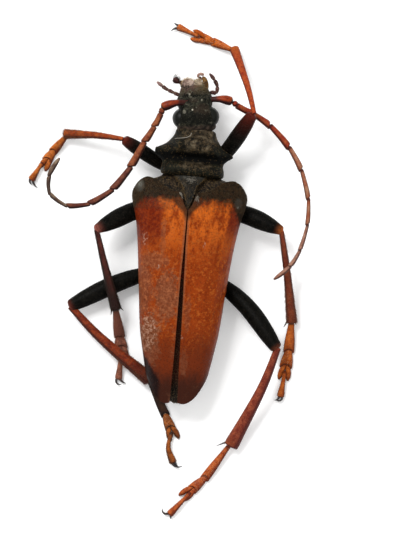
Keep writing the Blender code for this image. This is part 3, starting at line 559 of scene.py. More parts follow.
def collar_section(share, turn):
    """Point of the collar, with its thorns, humps, middle line and wrinkles."""
    y = COLLAR_LENGTH * share
    half = (between(COLLAR_HALF_WIDTH, y) * (1 - 0.1 * bump(y, 0.0, 0.12))
            * (1 - 0.1 * bump(y, COLLAR_LENGTH, 0.1)))
    high = between(COLLAR_HIGH, y) - 0.25 * bump(y, 0.0, 0.12) - 0.2 * bump(y, COLLAR_LENGTH, 0.1)
    x, z = arch(turn, half, between(COLLAR_LOW, y), COLLAR_MIDDLE, high, 2.2, 2.1)
    thorn_y, thorn_reach, thorn_along, thorn_high = SIDE_THORN
    hump_y, hump_x, hump_reach, hump_spread = BACK_HUMP
    upper = max(0.0, min(1.0, (z - COLLAR_MIDDLE) / 1.2))
    thorn = bump(y, thorn_y, thorn_along)
    if x < 0:
        grow, top, widen = BLUNT_THORN
        thorn = grow * min(top, bump(y, thorn_y, thorn_along * widen))
    sideways = min(1.0, max(0.0, (abs(x) / half - 0.45) / 0.3))
    x += math.copysign(sideways * thorn_reach * thorn * bump(z, COLLAR_MIDDLE + 0.1, thorn_high), x)
    z += upper * hump_reach * bump(y, hump_y, hump_spread) * bump(abs(x), hump_x, hump_spread)
    z -= upper * MIDDLE_LINE_DEPTH * bump(x, 0.0, 0.22) * bump(y, 3.2, 1.0)
    z += upper * WRINKLE * math.sin(5.1 * x + 2 * y) * math.sin(3.7 * y + x) * bump(y, 3.0, 1.6)
    return seated((x, y, z), COLLAR_AT, COLLAR_TURN)


def strongest(tree, patches, ragged):
    """The strongest of several blotches, each (x, y, across, along, strength)."""
    most = 0.0
    for x, y, across, along, strength in patches:
        mask = use(tree, blotch, X=x, Y=y, Across=across, Along=along, Ragged=ragged)["Mask"]
        most = maths(tree, "MAXIMUM", most, maths(tree, "MULTIPLY", mask, strength))
    return most


COLLAR_DISC = [(0.8, 11.8, 1.9, 1.5, 0.9), (0.4, 8.8, 1.7, 0.5, 0.8), (0.4, 10.3, 1.4, 0.8, 0.45)]
FURROW_SHIFT = 0.06


def collar_material():
    """Black brown horn, felted with grey brown on the disc and the rear band, bare and painted near black in
    the furrow as painted shade.
    """
    made, tree, shader = plain_material("collar_black", 0.5, Specular_IOR_Level=0.04)
    relief = use(tree, pitted, Spacing=0.17, Pits=0.9, Grain=0.9)
    drift = noise(tree, 1.7, 6.0, 0.72)
    disc = strongest(tree, COLLAR_DISC, 1.6)
    felt = mix(tree, disc, (31, 31, 23), (70, 59, 45))
    colour = mix(tree, ramp(tree, drift, 0.38, 0.64), (13, 12, 8), felt)
    dust = maths(tree, "MULTIPLY", use(tree, dusty, Amount=0.28, Size=0.6)["Mask"], disc)
    colour = mix(tree, dust, colour, (106, 95, 76))
    wander = maths(tree, "MULTIPLY_ADD", drift, 0.12, along_piece(tree)["Y"])
    # The furrow is bare of felt and painted near black, darker than the bare horn, as painted shade in the
    # groove.
    rear, floor, slope, crest = (share + FURROW_SHIFT for share in FURROW)
    bare_shaded_furrow = maths(tree, "MULTIPLY", ramp(tree, wander, rear, floor), ramp(tree, wander, crest, slope))
    colour = mix(tree, bare_shaded_furrow, colour, (5, 5, 4))
    coat(tree, shader, in_pits(tree, relief, 0.5, (6, 5, 4), colour), relief["Height"], 0.06)
    return made


collar = finish(object_from("collar", skin(collar_section, 130, 120), collar_material(), 60),
                "black_cuticle", "prothorax")


def on_disc(at, normal, place):
    """Thickest in the middle of the back, thinner in the cross furrow, sparse on the sides."""
    back = np.clip(normal[:, 2], 0.0, 1.0)
    furrow = np.exp(-((at[:, 1] - 9.65) / 0.5) ** 2)
    return (0.04 + back * (0.14 + np.exp(-((at[:, 0] - 0.4) / 1.5) ** 2))) * (1 - 0.95 * furrow)


band_hair = hair_material("band_hair", (142, 120, 110), (92, 76, 68))
bristles("collar_band_hair", collar, 450, 0.32, 0.013, (0, -1, 0), 0.3, band_hair, 16,
         lambda at, normal, place: (np.clip(normal[:, 2], 0, 1)
                                    * np.exp(-((at[:, 1] - 8.75) / 0.22) ** 2)), 0.6)
bristles("collar_hair", collar, 8000, 0.42, 0.017,
         lambda at: np.stack([-at[:, 0] * 0.5, np.where(at[:, 1] > 10.5, -1.0, 1.0), 0 * at[:, 0]], axis=1),
         0.3, gold_hair, 13, on_disc, 0.6)


# Scutellum: the small three-cornered shield between the roots of the wing cases
# It is black horn with a raised, hair-lined edge, and its front dips under the collar.
SHIELD_TIP = 4.5
SHIELD_FRONT = 7.7
SHIELD_CORNER = 6.55
SHIELD_HALF_WIDTH = 0.72
SEAM = [(-16.0, -0.42), (-12.8, -0.38), (-8.5, -0.31), (-4.2, -0.27), (0.95, -0.18), (4.4, -0.1),
        (7.6, -0.05)]
shield = bmesh.new()
bmesh.ops.create_grid(shield, x_segments=16, y_segments=30, size=0.5)
place = shield.verts.layers.float_vector.new("place")
for vert in shield.verts:
    across, share = 2 * vert.co.x, vert.co.y + 0.5
    vert[place] = (vert.co.x + 0.5, share, 0.0)
    y = SHIELD_TIP + (SHIELD_FRONT - SHIELD_TIP) * share
    half = SHIELD_HALF_WIDTH * min(1.0, (y - SHIELD_TIP) / (SHIELD_CORNER - SHIELD_TIP)) ** 0.75 + 0.02
    half += 0.9 * max(0.0, y - SHIELD_CORNER - 0.1)
    dip = 0.55 * max(0.0, y - 6.9) ** 1.3
    rim = 0.06 * bump(abs(across), 1.0, 0.2)
    vert.co = Vector((between(SEAM, y) + across * half, y,
                      between(BACK_HEIGHT, y) + 0.1 + rim - 0.2 * (across * half) ** 2 - dip)) * MM
bmesh.ops.solidify(shield, geom=list(shield.faces), thickness=0.4 * MM)
bmesh.ops.recalc_face_normals(shield, faces=shield.faces)
# The shield is dark grey horn; its paler grey front is a painted highlight.
shield_grey = cuticle("shield_grey", (10, 10, 8), (34, 31, 27), 0.4, 0.15, 0.7, 0.9, 0.05, 0.2, (84, 80, 72),
                      tip=(44, 44, 41), tip_from=0.85, tip_fade=0.15)
shield = finish(object_from("scutellum_shield", shield, shield_grey), "black_cuticle", "scutellum")
bristles("scutellum_hair", shield, 500, 0.3, 0.015, (0, -1, 0), 0.25, gold_hair, 14,
         lambda at, normal, place: (np.clip(normal[:, 2], 0, 1)
                                    * (0.3 + 2.0 * (np.abs(place[:, 0] - 0.5) > 0.4))))
ash_hair = hair_material("ash_hair", (166, 160, 148), (112, 106, 96))
bristles("scutellum_fringe", shield, 90, 0.4, 0.015, (0, -1, 0), 0.5, ash_hair, 17,
         lambda at, normal, place: (normal[:, 2] > 0.2) * np.exp(-((at[:, 1] - 7.35) / 0.2) ** 2
                                                                - ((at[:, 0] - 0.05) / 0.3) ** 2), 1.0)


# Wing cases: two hardened front wings that close over the back
# Thin arched shells of horn, black at the root and orange to rust behind, finely pitted,
# with a bead along the seam, a rolled outer edge, faint ribs and old dust on the left one.
ARCH = 0.87
APEX_Y = -16.3
APEX_ROUNDING = 3.58
APEX_POWER = 1.7
CASE_THICKNESS = 0.4
NOTCH_FROM, NOTCH_FULL = 4.1, 4.6
NOTCH_STEP = 0.3
NOTCH_WIDTH = 0.62
BASE_LINE = [(0.0, 5.95), (0.1, 6.15), (0.2, 6.65), (0.33, 7.25), (0.45, 7.42), (0.6, 7.1), (0.8, 6.3),
             (1.0, 5.6)]
ROLL = 0.09
RIB_HEIGHT = 0.045
SEAM_OPENING = [(-16.3, 0.41), (-12.0, 0.31), (-4.2, 0.21), (-1.5, 0.15), (0.5, 0.09), (4.4, 0.06)]
RIBS = (0.3, 0.52, 0.74)
SIDE_SHIFT = [(-16.4, -0.2), (-13.0, -0.25), (-10.0, -0.25), (-6.0, -0.22), (-2.5, -0.17), (2.0, -0.05),
              (4.0, 0.0)]


def wing_case(side):
    """One wing case, its outer edge rolled under and its front cut out for the shield."""
    bm = bmesh.new()
    bmesh.ops.create_grid(bm, x_segments=56, y_segments=130, size=0.5)
    place = bm.verts.layers.float_vector.new("place")
    for vert in bm.verts:
        reach, v = (vert.co.x + 0.5) * (1 + ROLL), 0.5 - vert.co.y
        u, rolled = min(1.0, reach), max(0.0, reach - 1.0) / ROLL
        start = between(BASE_LINE, u)
        end = APEX_Y + APEX_ROUNDING * u ** APEX_POWER + 0.35 * (1 - u) ** 8
        y = start + (end - start) * v ** 0.93
        opening = between(SEAM_OPENING, y)
        notch = min(1.0, max(0.0, (y - NOTCH_FULL) / 1.95)) ** 0.8
        inner = opening + NOTCH_WIDTH * notch + NOTCH_STEP * min(1.0, max(0.0, (y - NOTCH_FROM) / 0.5))
        edge, back = between(EDGE_HEIGHT, y), between(BACK_HEIGHT, y)
        width = between(HALF_WIDTH, y) + side * (between(SIDE_SHIFT, y) - between(SEAM, y)) - inner
        turn = u * math.pi / 2
        x = between(SEAM, y) + side * (inner + width * math.sin(turn) ** ARCH)
        z = edge + (back - edge) * math.cos(turn) ** ARCH
        z += 0.05 * bump(u, 0.015, 0.02) - 0.04 * bump(u, 0.06, 0.025)
        z += sum(RIB_HEIGHT * bump(u, rib, 0.03) for rib in RIBS) * min(1.0, v * 5) * (1 - v) ** 0.5
        z += 0.16 * bump(u, 0.58, 0.12) * bump(y, 5.9, 0.9) - 0.09 * bump(u, 0.36, 0.1) * bump(y, 5.6, 1.0)
        z += 0.05 * math.sin(1.3 * y + 4 * u) * math.sin(7 * u) * (1 - u)
        x -= side * rolled ** 1.4 * 0.5
        z -= math.sin(rolled * math.pi / 2) * 0.32
        vert.co = Vector((x, y, z)) * MM
        vert[place] = (reach / (1 + ROLL), v, 0.0)
    if side < 0:
        bmesh.ops.reverse_faces(bm, faces=bm.faces)
    bmesh.ops.solidify(bm, geom=list(bm.faces), thickness=CASE_THICKNESS * MM)
    bmesh.ops.recalc_face_normals(bm, faces=bm.faces)
    return bm


# Patches of each case, as (x, y, across, along, strength)
# Painted highlights where the shoulders of the cases catch the light
PAINTED_GLINTS = {"left": [(-5.3, 6.5, 0.56, 0.72, 0.2), (-5.26, 6.55, 0.36, 0.48, 0.36),
                   (-5.22, 6.58, 0.2, 0.26, 0.6)],
          "right": [(5.12, 5.1, 0.4, 0.6, 0.12), (5.08, 4.7, 0.1, 0.13, 0.6)]}
OLD_DUST = {
    "left": [(-3.3, -1.3, 1.5, 0.9, 0.5), (-1.75, -5.0, 1.3, 2.8, 0.62), (-4.2, -4.2, 0.9, 3.0, 0.5),
             (-3.4, -8.9, 1.1, 2.1, 0.75), (-2.9, -10.9, 0.8, 0.9, 0.4), (-2.5, 1.0, 0.3, 2.2, 0.35)],
    "right": [(0.5, -6.6, 0.35, 1.8, 0.35), (0.4, -11.9, 0.4, 1.4, 0.3)],
}
CRUSTS = {"left": [(-3.5, -8.7, 0.9, 1.9, 0.6), (-4.35, 0.9, 0.35, 0.7, 0.5),
                   (-2.85, -1.85, 0.13, 0.25, 1.0)],
          "right": [(1.85, 0.55, 0.12, 0.4, 0.8), (-0.1, -4.6, 0.1, 0.25, 1.0), (0.05, -9.1, 0.14, 0.2, 0.9)]}
FINE_DUST = {"left": 0.26, "right": 0.14}
RED_FROM = {"left": 0.34, "right": 0.56}
RED_END = {"left": 0.5, "right": 1.5}
ROOT_SLANT = {"left": 1.1, "right": 2.3}


def case_material(word):
    """Orange horn, red on the outer side, dark at root, tip and margin, with dust and crusts, painted
    shoulder highlights and a painted shadow on the left one's rear side.
    """
    made, tree, shader = plain_material(f"wing_case_{word}_horn", 0.36, Specular_IOR_Level=0.035)
    spot = millimetres(tree)
    relief = use(tree, pitted, Spacing=0.22, Pits=0.7, Grain=0.55)
    at, place = axes(tree, spot), along_piece(tree)
    stretched = put(tree, "Mapping", {"Vector": spot, "Scale": (1.0, 0.5, 1.0)}).outputs["Vector"]
    long_grain = noise(tree, 1.1, 5.0, 0.68, stretched)
    mottle = noise(tree, 2.8, 5.0, 0.75)
    bright = mix(tree, ramp(tree, at["Y"], -2.0, 3.5), (130, 50, 10), (180, 86, 24))
    bright = mix(tree, ramp(tree, long_grain, 0.42, 0.62), bright, (118, 42, 6))
    bright = mix(tree, ramp(tree, mottle, 0.5, 0.62), bright, (152, 74, 24))
    red = mix(tree, ramp(tree, mottle, 0.4, 0.65), (90, 24, 7), (122, 46, 14))
    sideways = maths(tree, "MULTIPLY_ADD", mottle, 0.22, place["X"])
    outer = maths(tree, "MULTIPLY", ramp(tree, sideways, RED_FROM[word], RED_FROM[word] + 0.06),
                  ramp(tree, at["Y"], RED_END[word] - 1.5, RED_END[word] + 1.5))
    colour = mix(tree, outer, bright, red)
    tail = maths(tree, "MULTIPLY_ADD", long_grain, 4.0, at["Y"])
    colour = mix(tree, ramp(tree, tail, -5.2, -9.4), colour, (98, 38, 14))
    colour = mix(tree, ramp(tree, tail, -9.6, -12.6), colour, (56, 27, 18))
    dust = maths(tree, "MULTIPLY", ramp(tree, at["Y"], 1.5, -2.5),
                 use(tree, dusty, Amount=FINE_DUST[word], Size=2.6)["Mask"])
    dust = maths(tree, "MAXIMUM", dust, strongest(tree, OLD_DUST[word], 2.6))
    blotched = ramp(tree, mottle, 0.35, 0.65)
    colour = mix(tree, dust, colour, mix(tree, blotched, (86, 50, 30), (128, 84, 60)))
    crust = maths(tree, "MULTIPLY", strongest(tree, CRUSTS[word], 1.8), ramp(tree, mottle, 0.48, 0.6))
    flecks = maths(tree, "MAXIMUM", use(tree, dusty, Amount=0.03, Size=0.35)["Mask"], crust)
    colour = mix(tree, flecks, colour, (166, 132, 112))
    # Painted shadow along the rear outer side of the left case.
    if word == "left":
        side_line = maths(tree, "MULTIPLY_ADD", at["Y"], 0.693, at["X"])
        side_line = maths(tree, "MULTIPLY_ADD", mottle, 1.2, side_line)
        shadow = maths(tree, "MULTIPLY", ramp(tree, side_line, -10.6, -11.2), ramp(tree, at["X"], -1.7, -2.3))
        colour = mix(tree, shadow, colour, (24, 13, 12))
    bead = maths(tree, "MULTIPLY", ramp(tree, place["X"], 0.02, 0.008), ramp(tree, at["Y"], -10.0, -5.0))
    colour = mix(tree, maths(tree, "MULTIPLY", bead, 0.65), colour, (126, 74, 46))
    colour = mix(tree, ramp(tree, place["X"], 0.86, 0.93), colour, (66, 30, 18))
    line = maths(tree, "MULTIPLY_ADD", noise(tree, 2.2, 4.0), 1.1, at["Y"])
    slope = maths(tree, "MULTIPLY_ADD", ramp(tree, place["X"], 0.35, 0.85), ROOT_SLANT[word], line)
    wedge_line = maths(tree, "MULTIPLY_ADD", place["X"], -22.0, at["Y"])
    by_shield = maths(tree, "MULTIPLY", ramp(tree, wedge_line, 2.6, 3.6), 0.85)
    root = maths(tree, "MAXIMUM", ramp(tree, slope, 5.2, 6.15), by_shield)
    colour = mix(tree, root, colour, mix(tree, blotched, (14, 11, 7), (46, 34, 20)))
    # Painted highlights on the shoulders
    colour = mix(tree, strongest(tree, PAINTED_GLINTS[word], 0.35), colour, (122, 122, 114))
    roughen(tree, shader, maths(tree, "MAXIMUM", root, dust), 0.34, 0.6)
    coat(tree, shader, in_pits(tree, relief, 0.35, (50, 17, 6), colour), relief["Height"], 0.035)
    return made


dark_hair = hair_material("dark_hair", (50, 36, 23), (24, 18, 13))
umber_hair = hair_material("umber_hair", (80, 60, 34), (26, 20, 12))
ROOT_STREAK = {"left": (-0.92, 6.15), "right": (0.6, 5.85)}
ROOT_END = 4.2
SIDES = ((-1, "left"), (1, "right"))
for side, word in SIDES:
    case = finish(object_from(f"wing_case_{word}", wing_case(side), case_material(word), 45),
                  "wing_case", f"elytron_{word}")

    def streak(at, normal, place, centre=ROOT_STREAK[word]):
        """A narrow slanting line beside the shield."""
        off = (at[:, 0] - centre[0] - 0.3 * (centre[1] - at[:, 1])) / 0.12
        return (normal[:, 2] > 0.2) * np.exp(-off ** 2 - ((at[:, 1] - centre[1]) / 0.4) ** 2)

    bristles(f"wing_root_hair_{word}", case, 2200, 0.26, 0.013, (0, -1, 0), 0.25, umber_hair, 15 + side,
             lambda at, normal, place: (normal[:, 2] > -0.2) * (at[:, 1] > ROOT_END))
    # The pale streak beside the shield is ash hair laid where the raised case edges catch the light, a
    # painted highlight made of hair.
    bristles(f"wing_root_streak_{word}", case, 40, 0.4, 0.014, (0.4, -1, 0), 0.3, ash_hair, 19 + side, streak,
             0.25)
    bristles(f"wing_case_hair_{word}", case, 2600, 0.16, 0.01, (0, -1, 0), 0.3, dark_hair, 25 + side,
             lambda at, normal, place: (normal[:, 2] > -0.2) * (at[:, 1] < ROOT_END))


# Head: a rounded box of black horn that narrows to the lip, carried by a short neck
# The neck fits in the collar. A fine furrow runs between two low knobs that seat the
# antennae, and the front edge is a paler, hairy lip plate.
HEAD_AT = Vector((0.25, 13.1, 0.0))
HEAD_TURN = math.radians(7.0)
HEAD_LENGTH = 4.05
NECK_LENGTH = 1.3
HEAD_HALF_WIDTH = [(-1.3, 1.5), (-0.8, 1.6), (-0.5, 1.98), (-0.2, 2.08), (0.1, 2.16), (0.45, 2.2),
                   (1.0, 2.05), (1.9, 1.8), (2.7, 1.74), (3.3, 1.58), (4.05, 1.28), (4.3, 1.1)]
HEAD_LOW = [(-1.3, 2.7), (0.0, 2.2), (1.1, 1.9), (2.9, 2.0), (4.05, 2.3)]
HEAD_HIGH = [(-1.3, 4.9), (0.0, 5.3), (0.9, 5.45), (1.9, 5.25), (2.7, 4.85), (3.3, 4.3), (4.05, 4.0),
             (4.3, 3.85)]
HEAD_MIDDLE = 3.6
EYE_AT = Vector((1.55, 0.79, 3.7))
EYE_RADII = Vector((0.9, 1.06, 1.12))
EYE_RIM, EYE_SINK = 1.2, 0.1
BROW_FURROW = 0.13
BROW_KNOB = 0.22
LIP_STEP = 0.1
SEAT_SWELL = 0.16
SEAT_Y, SEAT_Z = 2.6, 3.95
SCAPE_SEATS = {"left": (-0.6, 2.42, 4.7), "right": (1.33, 2.52, 4.0)}


def head_section(share, turn):
    """Point of the head, with its furrow, knobs and wrinkles, and a rim round each eye."""
    y = -NECK_LENGTH + (HEAD_LENGTH + 0.25 + NECK_LENGTH) * share
    x, z = arch(turn, between(HEAD_HALF_WIDTH, y), between(HEAD_LOW, y), HEAD_MIDDLE, between(HEAD_HIGH, y),
                2.3, 2.1)
    top = max(0.0, min(1.0, (z - HEAD_MIDDLE) / 0.9))
    z -= top * BROW_FURROW * bump(x, 0.0, 0.13) * bump(y, 2.0, 1.1)
    z += top * BROW_KNOB * bump(abs(x), 1.2, 0.4) * bump(y, 2.65, 0.4)
    z -= top * LIP_STEP * bump(y, 3.35, 0.14)
    z += top * 0.03 * math.sin(6.3 * x + 3 * y) * math.sin(5.1 * y - 2 * x) * bump(y, 1.8, 1.6)
    swell = SEAT_SWELL * bump(z, SEAT_Z, 0.5) * bump(y, SEAT_Y, 0.42)
    x += math.copysign(swell, x) if abs(x) > 0.9 else 0.0
    eye = Vector([(at - middle) / radius for at, middle, radius in zip((abs(x), y, z), EYE_AT, EYE_RADII)])
    if abs(x) > 0.7 and eye.length < EYE_RIM:
        x -= math.copysign(min(EYE_SINK, EYE_SINK * (EYE_RIM - eye.length) / 0.2), x)
    return seated((x, y, z), HEAD_AT, HEAD_TURN)


BROW_BROWN = [(0.7, 14.5, 0.9, 0.8, 0.3), (-0.2, 15.6, 0.5, 0.3, 0.25)]
# Pale specks on the head; the last one, beside the left eye, is a painted highlight
PALE_GRAINS_AND_GLINT = [(-0.64, 16.22, 0.1, 0.12, 0.4), (0.66, 15.69, 0.09, 0.12, 0.3), (-0.24, 14.61, 0.09, 0.1, 0.8),
               (-1.07, 14.35, 0.18, 0.2, 0.2)]
CROWN_SHADE = [(0.05, 13.75, 2.6, 0.62, 0.8)]


def head_material():
    """Black horn with a brown brow, a pale front edge, a dark band between the eyes, a brown nape, pale
    specks and a painted highlight by the left eye.
    """
    made, tree, shader = plain_material("head_black", 0.5, Specular_IOR_Level=0.04)
    relief = use(tree, pitted, Spacing=0.14, Pits=0.8, Grain=0.9)
    drift, run = noise(tree, 2.4, 5.0, 0.65), along_piece(tree)["Y"]
    colour = mix(tree, ramp(tree, drift, 0.38, 0.64), (9, 10, 8), (40, 39, 30))
    colour = mix(tree, strongest(tree, BROW_BROWN, 2.2), colour, (64, 50, 40))
    front = mix(tree, ramp(tree, axes(tree, millimetres(tree))["X"], -0.6, 0.6), (112, 84, 78), (116, 94, 62))
    front = mix(tree, ramp(tree, drift, 0.4, 0.6), front, (60, 50, 38))
    colour = mix(tree, ramp(tree, maths(tree, "MULTIPLY_ADD", drift, 0.5, run), 1.0, 1.26), colour, front)
    colour = mix(tree, use(tree, dusty, Amount=0.2, Size=0.4)["Mask"], colour, (108, 106, 92))
    colour = mix(tree, strongest(tree, CROWN_SHADE, 1.2), colour, (13, 13, 10))
    nape = mix(tree, ramp(tree, drift, 0.4, 0.62), (24, 20, 17), (62, 51, 43))
    colour = mix(tree, ramp(tree, run, 0.25, 0.17), colour, nape)
    colour = in_pits(tree, relief, 0.45, (7, 7, 5), colour)
    colour = mix(tree, strongest(tree, PALE_GRAINS_AND_GLINT, 0.5), colour, (176, 170, 152))
    coat(tree, shader, colour, relief["Height"], 0.036)
    return made


head = finish(object_from("head_capsule", skin(head_section, 110, 110), head_material(), 60),
              "black_cuticle", "head")
moss_hair = hair_material("moss_hair", (104, 98, 74), (54, 50, 38))
bristles("head_hair", head, 4200, 0.32, 0.014, (0.1, 1, 0), 0.5, moss_hair, 31,
         lambda at, normal, place: (at[:, 1] > 12.9) * (0.15 + np.clip(normal[:, 2], 0, 1)
                                                        + 2.0 * np.clip((at[:, 1] - 15.6) / 1.2, 0, 1)), 0.7)
fawn_hair = hair_material("fawn_hair", (168, 146, 112), (104, 84, 58))
bristles("brow_hair", head, 700, 0.34, 0.013, (0.1, 1, 0), 0.5, fawn_hair, 41,
         lambda at, normal, place: np.clip(at[:, 1] - 15.7, 0, 1) * np.clip(normal[:, 2] + 0.2, 0, 1), 0.8)


# Eyes: bulging, glossy and black grey, made of thousands of tiny facets
# Each is a bean-shaped dome set in the side of the head, notched in front of the antenna.
def eye_section(side):
    """Section of one eye, round an axis that runs along the head."""
    def section(share, turn):
        angle = math.pi * (0.012 + 0.976 * share)
        ring = math.sin(angle)
        x, y, z = ring * math.cos(turn), -math.cos(angle), ring * math.sin(turn)
        grow = 1.0 - 0.16 * bump(y, 0.85, 0.4) * bump(z, 0.15, 0.35)
        at = (side * (EYE_AT.x + EYE_RADII.x * x * grow), EYE_AT.y + EYE_RADII.y * y * grow,
              EYE_AT.z + EYE_RADII.z * z * grow)
        return seated(at, HEAD_AT, HEAD_TURN)
    return section


eye_facets, tree, shader = plain_material("eye_facets", 0.4, Specular_IOR_Level=0.14)
cells = put(tree, "TexVoronoi", {"Vector": millimetres(tree), "Scale": 18.0, "Randomness": 0.35})
coat(tree, shader, mix(tree, noise(tree, 1.4, 2.0), (4, 5, 3), (20, 22, 17)), cells.outputs["Distance"],
     0.012, 0.6, invert=True)
for side, word in SIDES:
    finish(object_from(f"eye_dome_{word}", skin(eye_section(side), 48, 56), eye_facets), "eye", f"eye_{word}")


# Mouth: lip plate with a lobe beside it, jaws and four feelers
# The lip is a thin, mottled, hairy flap over two short dark jaws. The feelers are chains of
# small purplish brown joints, each with a paler or plum end joint of its own shape.
ROUTE_STEPS = 40


def route(points):
    """The point at a share of the length of a smooth curve through the points, and that length."""
    points = [Vector(point) for point in points]
    padded = [2 * points[0] - points[1]] + points + [2 * points[-1] - points[-2]]
    fine = []
    for a, b, c, d in zip(padded, padded[1:], padded[2:], padded[3:]):
        for k in range(ROUTE_STEPS):
            t = k / ROUTE_STEPS
            fine.append(0.5 * (2 * b + (c - a) * t + (2 * a - 5 * b + 4 * c - d) * t ** 2
                               + (3 * b - a - 3 * c + d) * t ** 3))
    fine = np.array(fine + [points[-1]])
    run = np.concatenate([[0.0], np.cumsum(np.linalg.norm(np.diff(fine, axis=0), axis=1))])
    return lambda share: Vector([np.interp(share * run[-1], run, fine[:, i]) for i in range(3)]), run[-1]


def tube(line, girths, flat=1.0, along=30, around=18, shape=None, first=0.0, last=1.0, dome=1.0):
    """Closed limb with domed ends on a line, from share first to last; girths are (share, half width)."""
    at, length = line if isinstance(line, tuple) else route(line)
    length *= last - first
    stations = []
    for i in range(along + 1):
        share = 0.5 - 0.5 * math.cos(math.pi * i / along)
        spot = first + (last - first) * share
        ahead = (at(min(1.0, spot + 0.01)) - at(max(0.0, spot - 0.01))).normalized()
        side = ahead.cross(UP).normalized()
        girth = between(girths, share)
        from_end = min(share, 1 - share) * length / (girth * dome)
        rounding = math.sqrt(max(0.0, 1 - (1 - min(1.0, from_end)) ** 2))
        stations.append((at(spot), side, side.cross(ahead), ahead, girth * max(0.05, rounding)))

    def section(share, turn):
        real = 0.5 - 0.5 * math.cos(math.pi * share)
        centre, side, rise, ahead, girth = stations[round(share * along)]
        grow, push = shape(real, turn) if shape else (1.0, 0.0)
        return (centre + side * (math.cos(turn) * girth * grow)
                + rise * (math.sin(turn) * girth * flat * grow) + ahead * push)

    return skin(section, along, around)


# A pale fibre that lies on the collar
fibre_white = plain_material("fibre_white", 0.6, Base_Color=paint(132, 126, 114))[0]
fibre = tube([(-1.906, 11.516, 5.62), (-0.808, 11.664, 6.12), (-0.37, 11.858, 6.06), (-0.161, 12.215, 5.86)],
             [(0, 0.02), (0.5, 0.03), (1, 0.02)], 1.0, 40, 8)
finish(object_from("collar_fibre", fibre, fibre_white), "lip_hair")


def together(*shapes):
    """One bmesh that holds several."""
    whole = bmesh.new()
    whole.verts.layers.float_vector.new("place")
    for shape in shapes:
        carrier = bpy.data.meshes.new("carrier")
        shape.to_mesh(carrier)
        shape.free()
        whole.from_mesh(carrier)
        bpy.data.meshes.remove(carrier)
    return whole


def on_head(*point):
    """A point of the head's own frame, in its place."""
    return seated(point, HEAD_AT, HEAD_TURN)


def upper(at, normal, place):
    """Hair on the upper side of the lip."""
    return np.clip(normal[:, 2] + 0.35, 0, 1)


lip_straw = cuticle("lip_straw", (88, 76, 62), (146, 128, 106), 0.5, 0.12, 0.6, 0.9, 0.05, 0.3,
                    (184, 170, 146), root=(56, 48, 38), root_to=0.45)
lip_mauve = cuticle("lip_mauve", (68, 50, 45), (138, 114, 102), 0.5, 0.12, 0.8, 0.9, 0.05, 0.4,
                    (172, 152, 138), root=(56, 48, 40), root_to=0.4)
straw_hair = hair_material("straw_hair", (222, 204, 172), (176, 148, 108))
lip = tube([on_head(-0.4, 3.7, 3.85), on_head(-0.6, 4.4, 3.85), on_head(-0.62, 4.82, 3.72)],
           [(0, 0.6), (0.4, 0.72), (0.8, 0.68), (1, 0.5)], 0.36, 26, 40,
           lambda share, turn: (1.0 + 0.03 * math.cos(6 * turn),
                                -0.12 * bump(math.cos(turn), 0.0, 0.25) * share))
lip = finish(object_from("lip_plate", lip, lip_mauve), "lip_hair", "labrum")
bristles("lip_hair", lip, 650, 0.5, 0.014, (0.15, 1, 0), 0.35, straw_hair, 32, upper, 0.7)
bristles("lip_fringe", lip, 120, 0.5, 0.022, (0.1, 1, 0.1), 0.3, dark_hair, 33,
         lambda at, normal, place: normal[:, 1] > 0.2, 0.5)

lobe = tube([on_head(0.3, 3.7, 3.7), on_head(0.4, 4.3, 3.72), on_head(0.45, 4.72, 3.6)],
            [(0, 0.42), (0.5, 0.55), (0.85, 0.45), (1, 0.25)], 0.5, 24, 30)
lobe = finish(object_from("lip_side_lobe", lobe, lip_straw), "lip_hair")
bristles("lip_side_hair", lobe, 520, 0.42, 0.014, (0.1, 1, 0), 0.4, straw_hair, 46, upper, 0.7)

JAW_LINES = {"left": [(-1.1, 3.9, 3.1), (-1.1, 4.3, 3.1), (-0.8, 4.6, 3.1), (-0.4, 4.68, 3.08)],
             "right": [(1.18, 3.5, 3.6), (1.24, 4.1, 3.6), (1.16, 4.6, 3.5), (0.95, 4.98, 3.35)]}
jaw_ochre = cuticle("jaw_ochre", (58, 38, 18), (104, 74, 38), 0.35, 0.2, 0.4, 0.4, 0.02, 0.1,
                    tip=(56, 30, 16), tip_from=0.8)
for side, word in SIDES:
    jaw = tube([on_head(*point) for point in JAW_LINES[word]],
               [(0, 0.3), (0.5, 0.3), (0.85, 0.22), (1, 0.08)], 0.8, 24, 18)
    jaw = finish(object_from(f"jaw_{word}", jaw, jaw_ochre), "dark_red_cuticle", f"mandible_{word}")
    bristles(f"jaw_hair_{word}", jaw, 90, 0.3, 0.012, (0, 1, 0), 0.5, dark_hair, 44 + side,
             lambda at, normal, place: np.clip(0.8 - place[:, 1], 0, 1), 0.6)

PALPS = {
    "palp_maxillary_left": ([on_head(-1.3, 3.1, 2.9), on_head(-1.78, 3.3, 2.9), (-3.1, 16.65, 2.85),
                             (-4.15, 17.35, 3.0)], (0.3, 0.52, 0.76, 1.0), (0.2, 0.2, 0.21, 0.19)),
    "palp_maxillary_right": ([on_head(1.3, 3.0, 2.9), on_head(1.78, 3.25, 2.9), (2.13, 16.58, 2.75),
                              (2.18, 17.27, 2.8), (1.79, 17.97, 2.85), (1.28, 18.54, 2.9)],
                             (0.32, 0.52, 0.74, 1.0), (0.21, 0.21, 0.22, 0.2)),
    "palp_labial_left": ([on_head(-0.6, 3.9, 2.5), on_head(-0.75, 4.5, 2.45), (-1.6, 17.4, 2.3),
                          (-2.45, 17.75, 2.3)],
                         (0.4, 0.66, 1.0), (0.22, 0.24, 0.34)),
    "palp_labial_right": ([on_head(0.5, 3.9, 2.5), (0.36, 17.5, 2.45), (0.345, 17.94, 2.35),
                           (0.1, 18.24, 2.3), (0.42, 18.43, 2.25), (0.74, 18.3, 2.2)], (0.3, 0.55, 1.0),
                          (0.2, 0.2, 0.16)),
}
